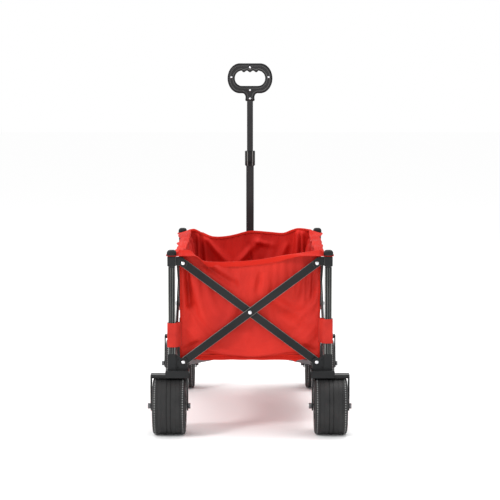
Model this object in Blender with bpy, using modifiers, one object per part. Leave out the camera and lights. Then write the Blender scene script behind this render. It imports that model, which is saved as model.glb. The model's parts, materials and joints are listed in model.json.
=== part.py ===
"""Folding utility wagon with a fabric tub and a telescoping pull handle.

World axes: X is the width, +Y is the front, where the handle is, +Z is up, and the origin is on the
ground under the middle of the frame. Every size is in metres. The frame is a quad fold: twelve equal
arms, crossed in pairs, join four corners, so it closes in width and in length together.
"""

import math

import bmesh
import bpy
from mathutils import Matrix, Vector

# ---- driving dimensions -------------------------------------------------------------------------

ARM_LENGTH = 0.470  # between the end rivets of every crossed arm
ARM_ANGLE = math.radians(36.7)  # of an arm to the ground, open
ARM_WIDTH = 0.0225
ARM_THICK = 0.0070
LOW_RIVET_Z = 0.2055

POST_OFFSET = 0.032  # from a corner's rivets out to its post, in X and in Y
POST_SIZE = 0.020
POST_WALL = 0.0015
POST_FOOT_Z = 0.1900
POST_TOP_Z = 0.4740
INNER_POST_SIZE = 0.0164
INNER_POST_FOOT_Z = 0.2500

CASTING_SIZE = 0.0240
EAR_THICK = 0.0060
EAR_REACH = 0.0125  # of an ear's round end, about its rivet
EAR_ROOT = 0.0085  # where an ear starts inside its sleeve, from the post's centre
EAR_INSET = 0.0030  # from a sleeve's end in to its ears' edge
LOWER_EAR_SLOPE = (0.0165, 0.0235, 0.0070)  # starts, ends, and how far it falls
UPPER_EAR_SLOPE = ((0.0260, 0.0010), (0.0340, 0.0040))  # distance in, and drop
UPPER_EAR_FOOT = 0.0240
UPPER_CASTING_Z = (0.4770, 0.5060)
LOWER_CASTING_Z = (0.1820, 0.2290)
FOOT_X = (0.1720, 0.2385)
FOOT_BACK_Y = 0.3720
FOOT_REACH_Y = 0.0240  # from a post's centre out to the foot's outer side
FOOT_Z = (0.1730, 0.1840)
SKIRT_THICK = 0.0060  # the rear feet's flange, down the outside of the fork's plate
SKIRT_LOW_Z = 0.1620
SKIRT_GAP = 0.0006
CAP_SIZE = 0.0270
CAP_Z = (0.5080, 0.5235)
CAP_ROUNDING = 0.62  # as a share of half the cap's width

WHEEL_RADIUS = 0.080
WHEEL_WIDTH = 0.093
WHEEL_X = 0.228
CASTER_TRAIL = 0.025
WHEEL_STEPS = 32
WHEEL_BORE = 0.0056
WHEEL_HUB = 0.0200
WHEEL_DISH = (0.0220, 0.0540, 0.0060)  # its inner and outer radius, and its depth
WHEEL_RIM = (0.0570, 0.0010)
SHOULDER_RADIUS = 0.0105
TREAD_GROOVE = (0.0030, 0.0022, 0.0035)  # half width at the top and the bottom, and depth
AXLE_RADIUS = 0.005
BOLT_HEAD_RADIUS = 0.0085
BOLT_HEAD = 0.0060
BOLT_NUT = 0.0080
BOLT_END = 0.0030
FORK_INNER_WIDTH = 0.099
FORK_PLATE = 0.0035
FORK_DEPTH = 0.040
FORK_TOP_Z = 0.1715
FORK_LIP = 0.010
FORK_SHOULDER = 0.0220  # a fork arm's full-width part, down from the top
FORK_FOOT_RADIUS = 0.0140
KINGPIN_RADIUS = 0.0050
KINGPIN_TOP_Z = 0.1795
KINGPIN_ROOM = 0.0008

BAR_INSET = 0.004  # of a base bar's corner pivot, in X; it is twice this in Y
BAR_PIVOT_Z = 0.1960
BAR_TIP_Z = 0.1820
BAR_TIP_RADIUS = 0.080  # from the middle of the wagon to a base bar's inner end
BAR_WIDTH = 0.0140
BAR_HEIGHT = 0.0120
LUG_CHEEK = 0.0025
LUG_CHEEK_HALF = 0.0070
LUG_COLUMN = 0.0055
LUG_END = 0.0140  # from a base bar's pivot out to the back of its lug
HUB_HALF = (0.0600, 0.0960)
HUB_CORNER = 0.0350
HUB_THICK = 0.0050
HUB_RISE = 0.0085  # from the bars' inner ends up to the hub's underside
HUB_BOSS_RADIUS = 0.0300
HUB_BOSS_RISE = 0.0040

LINK_TIP_X = 0.032
LINK_WIDTH = 0.018
LINK_THICK = 0.005
LINK_GAP = 0.0090  # from a post's centre to the back of a draw link
YOKE_HALF = (0.0430, 0.0160)
YOKE_PLATE = 0.0060
YOKE_LUG = (0.0150, 0.0110, 0.0040)  # half height at the plate, end radius, thickness
YOKE_GAP = 0.0010

HANDLE_PIVOT = Vector((0.0, 0.4680, 0.2055))
HANDLE_LEAN = math.radians(3.0)
HANDLE_TUBE = 0.0250
HANDLE_TUBE_WALL = 0.0020
HANDLE_TUBE_FOOT = -0.0110
TUBE_IN_COLLAR = 0.0200
TUBE_CORNER = 0.0035
UPPER_TUBE = 0.0196
COLLAR_WIDTH = 0.0333
COLLAR_CORNER = 0.0050
COLLAR_Z = (0.5215, 0.5695)  # along the handle, from its pivot
UPPER_TUBE_Z = (0.4500, 0.7600)
GRIP_NECK_Z = 0.7330
GRIP_CENTRE_Z = 0.8080
GRIP_HALF = (0.0720, 0.0475)
GRIP_HOLE_HALF = (0.0500, 0.0262)
GRIP_THICK = 0.0240
GRIP_CORNER = 0.0400
GRIP_HOLE_CORNER = 0.0240
GRIP_NECK_HALF = 0.0148
FINGERS = 4
FINGER_RIDGE = 0.0045

BAG_HALF = (0.1960, 0.3880)
BAG_Z = (0.2130, 0.4930)
BAG_WALL = 0.0030

GAP = 0.0003  # between faces that touch

HALF_WIDTH = 0.5 * ARM_LENGTH * math.cos(ARM_ANGLE)
HALF_LENGTH = 2.0 * HALF_WIDTH
TOP_RIVET_Z = LOW_RIVET_Z + ARM_LENGTH * math.sin(ARM_ANGLE)
POST_X = HALF_WIDTH + POST_OFFSET
POST_Y = HALF_LENGTH + POST_OFFSET

# the outer face of each arm layer, counted out from the post's centre
END_LAYERS = (0.0004, -0.0076)
SIDE_LAYERS = (-0.0045, -0.0125)
EAR_GAP = 0.0010

X = Vector((1.0, 0.0, 0.0))
Y = Vector((0.0, 1.0, 0.0))
Z = Vector((0.0, 0.0, 1.0))

CORNERS = {"rl": (-1, -1), "rr": (1, -1), "fl": (-1, 1), "fr": (1, 1)}

# ---- materials ----------------------------------------------------------------------------------

FINISHES = {
    "frame_black": ((0.030, 0.031, 0.032), 0.38, 0.0),
    "casting_black": ((0.035, 0.036, 0.037), 0.50, 0.0),
    "tyre_grey": ((0.040, 0.040, 0.041), 0.62, 0.0),
    "zinc": ((0.62, 0.62, 0.63), 0.30, 1.0),
    "bar_grey": ((0.33, 0.34, 0.35), 0.42, 0.6),
    "fabric_red": ((0.62, 0.035, 0.022), 0.80, 0.0),
}


def make_materials():
    made = {}
    for name, (colour, roughness, metallic) in FINISHES.items():
        material = bpy.data.materials.new(name)
        material.use_nodes = True
        shader = material.node_tree.nodes["Principled BSDF"]
        shader.inputs["Base Color"].default_value = (*colour, 1.0)
        shader.inputs["Roughness"].default_value = roughness
        shader.inputs["Metallic"].default_value = metallic
        made[name] = material
    return made


# ---- modelling helpers --------------------------------------------------------------------------


def clear_scene():
    for obj in list(bpy.data.objects):
        bpy.data.objects.remove(obj)


def new_collection(name):
    collection = bpy.data.collections.new(name)
    bpy.context.scene.collection.children.link(collection)
    return collection


def link_mesh(name, mesh):
    obj = bpy.data.objects.new(name, mesh)
    WAGON.objects.link(obj)
    return obj


def tidy(mesh):
    """Welds a mesh's loose caps and turns its faces outward."""
    bm = bmesh.new()
    bm.from_mesh(mesh)
    bmesh.ops.remove_doubles(bm, verts=bm.verts, dist=1e-6)
    bmesh.ops.recalc_face_normals(bm, faces=bm.faces)
    bm.to_mesh(mesh)
    bm.free()


def as_mesh(obj):
    """Swaps an object for a plain mesh object of the same name and shape."""
    graph = bpy.context.evaluated_depsgraph_get()
    mesh = bpy.data.meshes.new_from_object(obj.evaluated_get(graph))
    mesh.transform(obj.matrix_world)
    name = obj.name
    bpy.data.objects.remove(obj)
    tidy(mesh)
    return link_mesh(name, mesh)


def move(obj, matrix):
    """Moves a mesh by a matrix, which may mirror it."""
    bm = bmesh.new()
    bm.from_mesh(obj.data)
    bmesh.ops.transform(bm, matrix=matrix, verts=bm.verts)
    bmesh.ops.recalc_face_normals(bm, faces=bm.faces)
    bm.to_mesh(obj.data)
    bm.free()
    return obj


def block(name, low, high, bevel=0.0, segments=1):
    """A box from its low corner to its high corner, with its edges rounded."""
    low, high = Vector(low), Vector(high)
    bm = bmesh.new()
    bmesh.ops.create_cube(bm, size=1.0)
    size = high - low
    bmesh.ops.scale(bm, vec=size, verts=bm.verts)
    bmesh.ops.translate(bm, vec=(low + high) / 2.0, verts=bm.verts)
    if bevel:
        bmesh.ops.bevel(bm, geom=bm.edges[:], offset=bevel, segments=segments, affect="EDGES",
                        profile=0.5)
    mesh = bpy.data.meshes.new(name)
    bm.to_mesh(mesh)
    bm.free()
    return link_mesh(name, mesh)


def frame_matrix(origin, along_u, along_v):
    """The matrix that puts a flat outline's first axis on u and its second on v."""
    u = Vector(along_u).normalized()
    v = Vector(along_v).normalized()
    n = u.cross(v)
    return Matrix.Translation(origin) @ Matrix((u, v, n)).transposed().to_4x4()


def slab(name, outline, thickness, origin=(0, 0, 0), along_u=X, along_v=Z, holes=()):
    """A flat plate: a closed outline, and its holes, extruded evenly to both sides of its plane."""
    curve = bpy.data.curves.new(name, "CURVE")
    curve.dimensions = "2D"
    curve.fill_mode = "BOTH"
    curve.extrude = thickness / 2.0
    for points in [outline, *holes]:
        spline = curve.splines.new("POLY")
        spline.points.add(len(points) - 1)
        for point, (u, v) in zip(spline.points, points):
            point.co = (u, v, 0.0, 1.0)
        spline.use_cyclic_u = True
    obj = link_mesh(name, curve)
    obj.matrix_world = frame_matrix(Vector(origin), along_u, along_v)
    bpy.context.view_layer.update()
    return as_mesh(obj)


def arc(centre, radius, start, end, steps):
    """Points on an arc in degrees; radius is a number, or a pair for an ellipse."""
    radii = radius if isinstance(radius, tuple) else (radius, radius)
    points = []
    for step in range(steps + 1):
        angle = math.radians(start + (end - start) * step / steps)
        points.append((centre[0] + radii[0] * math.cos(angle), centre[1] + radii[1] * math.sin(angle)))
    return points


def rounded_box(half, radius, steps=6):
    """A rectangle's outline with round corners; half is its half size along u and v."""
    points = []
    for turn, (u, v) in enumerate([(1, 1), (-1, 1), (-1, -1), (1, -1)]):
        centre = (u * (half[0] - radius), v * (half[1] - radius))
        points += arc(centre, radius, 90.0 * turn, 90.0 * turn + 90.0, steps)
    return points


def rounded_square(size, radius, steps=2):
    return rounded_box((size / 2.0, size / 2.0), radius, steps)


def stadium(length, width, steps=8):
    """A bar's outline with round ends; length is between the centres of the ends."""
    half = length / 2.0
    return (arc((half, 0.0), width / 2.0, -90.0, 90.0, steps)
            + arc((-half, 0.0), width / 2.0, 90.0, 270.0, steps))


def tube(name, size, wall, low, high, corner=0.0035):
    """A square tube with round edges that stands along Z."""
    outer = rounded_square(size, corner)
    inner = rounded_square(size - 2.0 * wall, corner - wall + 0.0005)
    return slab(name, outer, high - low, (0, 0, (low + high) / 2.0), X, Y, [inner])


def turned(name, profile, steps):
    """A closed profile of (radius, x) turned about the X axis."""
    mesh = bpy.data.meshes.new(name)
    points = [(x, 0.0, radius) for radius, x in profile]
    edges = [(i, (i + 1) % len(points)) for i in range(len(points))]
    mesh.from_pydata(points, edges, [])
    obj = link_mesh(name, mesh)
    screw = obj.modifiers.new("Turn", "SCREW")
    screw.axis = "X"
    screw.steps = steps
    screw.render_steps = steps
    screw.use_merge_vertices = True
    screw.merge_threshold = 0.00001
    return as_mesh(obj)


def rod(name, radius, low, high, axis, centre=(0.0, 0.0, 0.0), steps=16):
    """A cylinder along X, Y or Z, from low to high on that axis."""
    bm = bmesh.new()
    bmesh.ops.create_cone(bm, cap_ends=True, segments=steps, radius1=radius, radius2=radius,
                          depth=high - low)
    turn = Vector((0, 0, 1)).rotation_difference(axis).to_matrix().to_4x4()
    shift = Vector(centre) + axis * (low + high) / 2.0
    bmesh.ops.transform(bm, matrix=Matrix.Translation(shift) @ turn, verts=bm.verts)
    mesh = bpy.data.meshes.new(name)
    bm.to_mesh(mesh)
    bm.free()
    return link_mesh(name, mesh)


def combine(base, others, operation):
    """Joins pieces to the first, or cuts them from it, and keeps one mesh under its name."""
    for number, other in enumerate(others):
        boolean = base.modifiers.new(f"{operation} {number}", "BOOLEAN")
        boolean.operation = operation
        boolean.object = other
        boolean.solver = "EXACT"
    done = as_mesh(base)
    for other in others:
        bpy.data.objects.remove(other)
    return done


def united(name, pieces):
    base = pieces[0]
    done = combine(base, pieces[1:], "UNION")
    done.name = name
    return done


def cut(base, cutters):
    return combine(base, cutters, "DIFFERENCE")


def finish(obj, material, pivot=None, smooth_deg=35.0):
    """Gives a node its material, smooth shading and, if it moves, an origin on its joint's axis."""
    obj.data.materials.clear()
    obj.data.materials.append(MATERIALS[material])
    obj.data.shade_smooth()
    obj.data.set_sharp_from_angle(angle=math.radians(smooth_deg))
    if pivot is not None:
        pivot = Vector(pivot)
        obj.data.transform(Matrix.Translation(-pivot))
        obj.location = pivot
    return obj


# ---- frame --------------------------------------------------------------------------------------


def arm(name, ends, thick_axis, layer_face):
    """A flat arm between two rivets. thick_axis points outward, layer_face is its outer face."""
    start, end = Vector(ends[0]), Vector(ends[1])
    along = (end - start).normalized()
    across = thick_axis.cross(along)
    middle = (start + end) / 2.0
    middle += thick_axis * (layer_face - ARM_THICK / 2.0 - middle.dot(thick_axis))
    outline = stadium(ARM_LENGTH, ARM_WIDTH)
    bar = slab(name, outline, ARM_THICK, middle, along, across)
    pivot = start + thick_axis * (middle - start).dot(thick_axis)
    return finish(bar, "frame_black", pivot)


def make_arms():
    low, top = LOW_RIVET_Z, TOP_RIVET_Z
    for end, sign in (("rear", -1), ("front", 1)):
        y = sign * HALF_LENGTH
        face = [POST_Y + layer for layer in END_LAYERS]
        rising = ((-HALF_WIDTH, y, low), (HALF_WIDTH, y, top))
        falling = ((-HALF_WIDTH, y, top), (HALF_WIDTH, y, low))
        arm(f"end_arm_{end}_a", rising, Y * sign, face[0])
        arm(f"end_arm_{end}_b", falling, Y * sign, face[1])
    for side, sign in (("left", -1), ("right", 1)):
        x = sign * HALF_WIDTH
        face = [POST_X + layer for layer in SIDE_LAYERS]
        back, front = -HALF_LENGTH, HALF_LENGTH
        runs = {
            "a": ((x, back, low), (x, 0.0, top), face[0]),
            "b": ((x, back, top), (x, 0.0, low), face[1]),
            "c": ((x, 0.0, top), (x, front, low), face[1]),
            "d": ((x, 0.0, low), (x, front, top), face[0]),
        }
        for letter, (start, end, outer) in runs.items():
            arm(f"side_arm_{side}_{letter}", (start, end), X * sign, outer)


def ear_outline(lower):
    """An ear seen square on: u runs from the post's centre inward, v is the height."""
    root = EAR_ROOT
    if lower:
        rivet = (POST_OFFSET, LOW_RIVET_Z)
        low, high = LOWER_CASTING_Z[0] - EAR_INSET, LOWER_CASTING_Z[1] - EAR_INSET
        slope, level, fall = LOWER_EAR_SLOPE
        round_end = arc(rivet, EAR_REACH, 110.0, 0.0, 8)
        return [(root, low), (root, high), (slope, high), (level, high - fall),
                *round_end, (rivet[0] + EAR_REACH, low)]
    rivet = (POST_OFFSET, TOP_RIVET_Z)
    low, high = UPPER_CASTING_Z[0] + EAR_INSET, UPPER_CASTING_Z[1] - EAR_INSET / 3.0
    round_end = arc(rivet, EAR_REACH, 62.0, -95.0, 10)
    slope = [(u, high - drop) for u, drop in UPPER_EAR_SLOPE]
    return [(root, low), (root, high), *slope, *round_end, (UPPER_EAR_FOOT, low)]


def ears(lower):
    """The two ears of the front right corner: one for the end arm, one for the side arm."""
    outline = ear_outline(lower)
    end_face = POST_Y + END_LAYERS[0] + EAR_GAP
    side_face = POST_X + SIDE_LAYERS[0] + EAR_GAP
    end_ear = slab("end_ear", outline, EAR_THICK, (POST_X, end_face + EAR_THICK / 2.0, 0), -X, Z)
    side_ear = slab("side_ear", outline, EAR_THICK, (side_face + EAR_THICK / 2.0, POST_Y, 0), -Y, Z)
    return [end_ear, side_ear]


def sleeve(name, low, high):
    half = CASTING_SIZE / 2.0
    return block(name, (POST_X - half, POST_Y - half, low), (POST_X + half, POST_Y + half, high),
                 0.0025, 2)


def diagonal():
    """The direction of a base bar, from the middle of the wagon to the front right corner."""
    return Vector((HALF_WIDTH, HALF_LENGTH, 0.0)).normalized()


def bar_pivot():
    return Vector((HALF_WIDTH - BAR_INSET, HALF_LENGTH - 2.0 * BAR_INSET, BAR_PIVOT_Z))


def bar_lug():
    """The two cheeks and the column that hold a base bar's outer end."""
    along = diagonal()
    across = Z.cross(along)
    half = LUG_CHEEK_HALF
    cheek = [*arc((0.0, 0.0), half, 90.0, 270.0, 8), (LUG_END, -half), (LUG_END, half)]
    inside = BAR_WIDTH / 2.0 + 2.0 * GAP
    outside = inside + LUG_CHEEK
    pieces = []
    for side in (-1, 1):
        offset = across * side * (inside + outside) / 2.0
        pieces.append(slab("cheek", cheek, LUG_CHEEK, bar_pivot() + offset, along, Z))
    root, back, side = LUG_END - LUG_COLUMN, LUG_END + 2.0 * GAP, outside - 2.0 * GAP
    column = [(root, -side), (back, -side), (back, side), (root, side)]
    low = (FOOT_Z[0] + FOOT_Z[1]) / 2.0
    high = BAR_PIVOT_Z + half - 2.0 * GAP
    place = bar_pivot()
    place.z = (low + high) / 2.0
    pieces.append(slab("column", column, high - low, place, along, across))
    return pieces


def make_lower_casting(corner):
    sx, sy = CORNERS[corner]
    low, high = LOWER_CASTING_Z
    foot = block("foot", (FOOT_X[0], FOOT_BACK_Y, FOOT_Z[0]),
                 (FOOT_X[1], POST_Y + FOOT_REACH_Y, FOOT_Z[1]), 0.0020, 1)
    pieces = [sleeve("sleeve", low, high), foot, *ears(True), *bar_lug()]
    if sy < 0:
        skirt_y = POST_Y + FORK_DEPTH / 2.0 + SKIRT_GAP
        pieces.append(block("skirt", (FOOT_X[0], skirt_y, SKIRT_LOW_Z),
                            (FOOT_X[1], skirt_y + SKIRT_THICK, FOOT_Z[1]), 0.0015, 1))
    casting = united(f"lower_corner_{corner}", pieces)
    over = 0.010
    post = slab("bore", rounded_square(POST_SIZE + 2.0 * GAP, TUBE_CORNER), high - POST_FOOT_Z + over,
                (POST_X, POST_Y, (high + POST_FOOT_Z + over) / 2.0 - GAP), X, Y)
    cutters = [post]
    if sy > 0:
        cutters.append(rod("kingpin_bore", KINGPIN_RADIUS + KINGPIN_ROOM, SKIRT_LOW_Z,
                           KINGPIN_TOP_Z + KINGPIN_ROOM, Z, (WHEEL_X, POST_Y, 0)))
    casting = cut(casting, cutters)
    move(casting, Matrix.Diagonal((sx, sy, 1, 1)))
    return finish(casting, "casting_black", (sx * HALF_WIDTH, sy * HALF_LENGTH, LOW_RIVET_Z))


def make_upper_casting(corner):
    sx, sy = CORNERS[corner]
    casting = united(f"upper_corner_{corner}", [sleeve("sleeve", *UPPER_CASTING_Z), *ears(False)])
    move(casting, Matrix.Diagonal((sx, sy, 1, 1)))
    return finish(casting, "casting_black", (sx * HALF_WIDTH, sy * HALF_LENGTH, TOP_RIVET_Z))


def make_posts(corner):
    sx, sy = CORNERS[corner]
    place = Matrix.Translation((sx * POST_X, sy * POST_Y, 0.0))
    outer = tube(f"outer_post_{corner}", POST_SIZE, POST_WALL, POST_FOOT_Z, POST_TOP_Z)
    finish(move(outer, place), "frame_black")
    inner = tube(f"inner_post_{corner}", INNER_POST_SIZE, POST_WALL, INNER_POST_FOOT_Z,
                 UPPER_CASTING_Z[0] - GAP, 0.0028)
    finish(move(inner, place), "frame_black")


def make_cap(corner):
    sx, sy = CORNERS[corner]
    half = CAP_SIZE / 2.0
    bm = bmesh.new()
    bmesh.ops.create_cube(bm, size=1.0)
    bmesh.ops.scale(bm, vec=(CAP_SIZE, CAP_SIZE, CAP_Z[1] - CAP_Z[0]), verts=bm.verts)
    top = [edge for edge in bm.edges if all(vert.co.z > 0 for vert in edge.verts)]
    upright = [edge for edge in bm.edges if abs(edge.verts[0].co.z - edge.verts[1].co.z) > 0.001]
    bmesh.ops.bevel(bm, geom=top + upright, offset=half * CAP_ROUNDING, segments=3, affect="EDGES",
                    profile=0.5, clamp_overlap=True)
    bmesh.ops.translate(bm, vec=(sx * POST_X, sy * POST_Y, sum(CAP_Z) / 2.0), verts=bm.verts)
    mesh = bpy.data.meshes.new(f"post_cap_{corner}")
    bm.to_mesh(mesh)
    bm.free()
    return finish(link_mesh(f"post_cap_{corner}", mesh), "casting_black")


# ---- under the floor ----------------------------------------------------------------------------


def make_base():
    along = diagonal()
    outer_end = bar_pivot()
    inner_end = along * BAR_TIP_RADIUS + Z * BAR_TIP_Z
    run = outer_end - inner_end
    height = run.cross(Z.cross(along)).normalized()
    height = height if height.z > 0 else -height
    for corner, (sx, sy) in CORNERS.items():
        outline = stadium(run.length, BAR_HEIGHT, 6)
        bar = slab(f"base_bar_{corner}", outline, BAR_WIDTH, (outer_end + inner_end) / 2.0,
                   run.normalized(), height)
        move(bar, Matrix.Diagonal((sx, sy, 1, 1)))
        finish(bar, "bar_grey", (sx * outer_end.x, sy * outer_end.y, outer_end.z))
    low = BAR_TIP_Z + HUB_RISE
    plate = slab("hub", rounded_box(HUB_HALF, HUB_CORNER), HUB_THICK, (0, 0, low + HUB_THICK / 2.0), X, Y)
    boss = rod("boss", HUB_BOSS_RADIUS, low + 0.001, low + HUB_THICK + HUB_BOSS_RISE, Z, steps=32)
    hub = united("hub", [plate, boss])
    finish(hub, "casting_black", (-inner_end.x, -inner_end.y, inner_end.z))


# ---- running gear -------------------------------------------------------------------------------


def fork_arm_outline(trail):
    """A fork arm from the side: u is Y from the post's centre, v is the height."""
    half = FORK_DEPTH / 2.0 - 2.0 * GAP
    top = FORK_TOP_Z - GAP
    axle = (-trail, WHEEL_RADIUS)
    foot = arc(axle, FORK_FOOT_RADIUS, 190.0, 350.0, 8)
    shoulder = top - FORK_SHOULDER
    return [(half, top), (half, shoulder), *reversed(foot), (-half, shoulder), (-half, top)]


def make_fork(corner):
    """An inverted U of plate over the wheel; at the front it also has the kingpin it swivels on."""
    sx, sy = CORNERS[corner]
    trail = CASTER_TRAIL if sy > 0 else 0.0
    half_depth = FORK_DEPTH / 2.0
    reach = FORK_INNER_WIDTH / 2.0
    outline = fork_arm_outline(trail)
    side_x = reach + FORK_PLATE - GAP
    pieces = [block("plate", (-side_x, -half_depth, FORK_TOP_Z - FORK_PLATE),
                    (side_x, half_depth, FORK_TOP_Z))]
    for side in (-1, 1):
        middle = side * (reach + FORK_PLATE / 2.0)
        pieces.append(slab("arm", outline, FORK_PLATE, (middle, 0, 0), Y, Z))
        edge = side * (half_depth - FORK_PLATE / 2.0 - GAP)
        pieces.append(block("lip", (-reach - 0.001, edge - FORK_PLATE / 2.0, FORK_TOP_Z - FORK_LIP),
                            (reach + 0.001, edge + FORK_PLATE / 2.0, FORK_TOP_Z - 0.001)))
    if sy > 0:
        pieces.append(rod("kingpin", KINGPIN_RADIUS, FORK_TOP_Z - 0.002, KINGPIN_TOP_Z, Z))
    fork = united(f"wheel_fork_{corner}", pieces)
    bore = rod("axle_hole", AXLE_RADIUS + GAP, -0.1, 0.1, X, (0, -trail, WHEEL_RADIUS))
    fork = cut(fork, [bore])
    move(fork, Matrix.Translation((sx * WHEEL_X, sy * POST_Y, 0.0)))
    finish(fork, "frame_black", (sx * WHEEL_X, sy * POST_Y, FORK_TOP_Z))


def wheel_profile():
    """Half-section of the wheel as (radius, x), round from the bore over the tread and back."""
    half = WHEEL_WIDTH / 2.0
    inner, outer, dish = WHEEL_DISH
    rim, rim_inset = WHEEL_RIM
    top, bottom, groove = TREAD_GROOVE
    soft = SHOULDER_RADIUS
    shoulder = arc((WHEEL_RADIUS - soft, half - soft), (soft, soft), 0.0, 90.0, 3)
    right = [(WHEEL_BORE, half), (WHEEL_HUB, half), (inner, half - dish), (outer, half - dish),
             (rim, half - rim_inset)]
    right += [(radius, x) for radius, x in reversed(shoulder)]
    right += [(WHEEL_RADIUS, top), (WHEEL_RADIUS - groove, bottom)]
    left = [(radius, -x) for radius, x in reversed(right)]
    return right + left


def make_wheel(corner):
    sx, sy = CORNERS[corner]
    trail = CASTER_TRAIL if sy > 0 else 0.0
    centre = Vector((sx * WHEEL_X, sy * POST_Y - trail, WHEEL_RADIUS))
    wheel = turned(f"wheel_{corner}", wheel_profile(), WHEEL_STEPS)
    move(wheel, Matrix.Translation(centre))
    finish(wheel, "tyre_grey", centre)
    outside = FORK_INNER_WIDTH / 2.0 + FORK_PLATE + GAP
    shaft = rod("shaft", AXLE_RADIUS, -outside - BOLT_END, outside + BOLT_END, X, centre)
    head = rod("head", BOLT_HEAD_RADIUS, outside, outside + BOLT_HEAD, X, centre, 6)
    nut = rod("nut", BOLT_HEAD_RADIUS, -outside - BOLT_NUT, -outside, X, centre, 6)
    bolt = united(f"axle_bolt_{corner}", [shaft, head, nut])
    finish(bolt, "zinc")


# ---- handle -------------------------------------------------------------------------------------


def make_draw_gear():
    back = POST_Y + LINK_GAP
    middle_y = back + LINK_THICK / 2.0
    for side, sign in (("left", -1), ("right", 1)):
        length = HALF_WIDTH - LINK_TIP_X
        centre = (sign * (HALF_WIDTH + LINK_TIP_X) / 2.0, middle_y, LOW_RIVET_Z)
        link = slab(f"draw_link_{side}", stadium(length, LINK_WIDTH), LINK_THICK, centre, X, Z)
        finish(link, "frame_black", (sign * HALF_WIDTH, middle_y, LOW_RIVET_Z))
    plate_back = back + LINK_THICK + YOKE_GAP
    half_x, half_z = YOKE_HALF
    plate = block("plate", (-half_x, plate_back, LOW_RIVET_Z - half_z),
                  (half_x, plate_back + YOKE_PLATE, LOW_RIVET_Z + half_z), 0.0015, 1)
    pivot = HANDLE_PIVOT
    root = plate_back + YOKE_PLATE / 2.0
    at_plate, at_end, thick = YOKE_LUG
    lug = [(root, pivot.z - at_plate), (pivot.y, pivot.z - at_end),
           *arc((pivot.y, pivot.z), at_end, -70.0, 80.0, 8), (root, pivot.z + at_plate)]
    pieces = [plate]
    for sign in (-1, 1):
        offset = sign * (HANDLE_TUBE / 2.0 + YOKE_GAP + thick / 2.0)
        pieces.append(slab("lug", lug, thick, (offset, 0, 0), Y, Z))
    yoke = united("handle_yoke", pieces)
    finish(yoke, "casting_black", (-LINK_TIP_X, middle_y, LOW_RIVET_Z))


def scalloped_hole():
    """The finger opening: a rounded slot whose upper edge has four finger hollows."""
    half_u, half_v = GRIP_HOLE_HALF
    corner_u = GRIP_HOLE_CORNER
    straight = half_u - corner_u
    points = arc((straight, 0.0), (corner_u, half_v), -90.0, 75.0, 9)
    span = 2.0 * straight + 0.012
    steps = 24
    for step in range(steps + 1):
        across = step / steps
        wave = abs(math.sin(math.pi * FINGERS * across))
        points.append((span / 2.0 - span * across, half_v - FINGER_RIDGE * (1.0 - wave)))
    points += arc((-straight, 0.0), (corner_u, half_v), 105.0, 270.0, 9)
    return points


def grip_outline():
    half_u, half_v = GRIP_HALF
    corner_u = GRIP_CORNER
    straight = half_u - corner_u
    neck = GRIP_NECK_HALF
    neck_foot = GRIP_NECK_Z - GRIP_CENTRE_Z
    right = [(neck - 0.0015, neck_foot), (neck, neck_foot + 0.0020), (neck, neck_foot + 0.0130),
             (neck + 0.0030, neck_foot + 0.0210), (neck + 0.0085, -half_v + 0.0005)]
    right += arc((straight, 0.0), (corner_u, half_v), -84.0, 90.0, 14)
    left = [(-u, v) for u, v in reversed(right)]
    return right + left


def make_grip():
    """Two moulded halves on the handle's axis, with a square pocket for the tube between them."""
    outline = grip_outline()
    hole = scalloped_hole()
    thick = GRIP_THICK / 2.0 - GAP
    halves = []
    for name, sign in (("grip_front", 1), ("grip_back", -1)):
        middle = sign * (GAP + thick / 2.0)
        half = slab(name, outline, thick, (0, middle, GRIP_CENTRE_Z), X, Z, [hole])
        room = UPPER_TUBE / 2.0 + GAP
        pocket = block("pocket", (-room, -room, GRIP_NECK_Z - 0.01), (room, room, UPPER_TUBE_Z[1] + GAP))
        halves.append(cut(half, [pocket]))
    return halves


def make_handle():
    """Built upright on its own pivot, then leaned back by its parent empty."""
    axis = bpy.data.objects.new("handle_axis", None)
    WAGON.objects.link(axis)
    axis.location = HANDLE_PIVOT
    axis.rotation_euler = (HANDLE_LEAN, 0.0, 0.0)

    collar_low, collar_high = COLLAR_Z
    lower = tube("handle_lower_tube", HANDLE_TUBE, HANDLE_TUBE_WALL, HANDLE_TUBE_FOOT,
                 collar_low + TUBE_IN_COLLAR)
    collar = slab("handle_collar", rounded_square(COLLAR_WIDTH, COLLAR_CORNER),
                  collar_high - collar_low, (0, 0, (collar_low + collar_high) / 2.0), X, Y)
    seat = 1.5 * TUBE_IN_COLLAR + GAP
    wide = slab("wide", rounded_square(HANDLE_TUBE + 2.0 * GAP, TUBE_CORNER), seat,
                (0, 0, collar_low + TUBE_IN_COLLAR + GAP - seat / 2.0), X, Y)
    narrow = slab("narrow", rounded_square(UPPER_TUBE + 2.0 * GAP + 0.0004, TUBE_CORNER), 0.2,
                  (0, 0, collar_high), X, Y)
    collar = cut(collar, [wide, narrow])
    upper = tube("handle_upper_tube", UPPER_TUBE, POST_WALL, *UPPER_TUBE_Z, 0.0030)
    front, back = make_grip()
    pieces = [(lower, "frame_black"), (collar, "casting_black"), (upper, "frame_black"),
              (front, "casting_black"), (back, "casting_black")]
    for piece, material in pieces:
        finish(piece, material)
        piece.parent = axis


# ---- bag ----------------------------------------------------------------------------------------


def make_bag():
    """The fabric tub as a plain open-topped shell."""
    (half_x, half_y), (low, high) = BAG_HALF, BAG_Z
    shell = block("bag", (-half_x, -half_y, low), (half_x, half_y, high))
    room = block("room", (-half_x + BAG_WALL, -half_y + BAG_WALL, low + BAG_WALL),
                 (half_x - BAG_WALL, half_y - BAG_WALL, high + 0.05))
    finish(cut(shell, [room]), "fabric_red")


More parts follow.
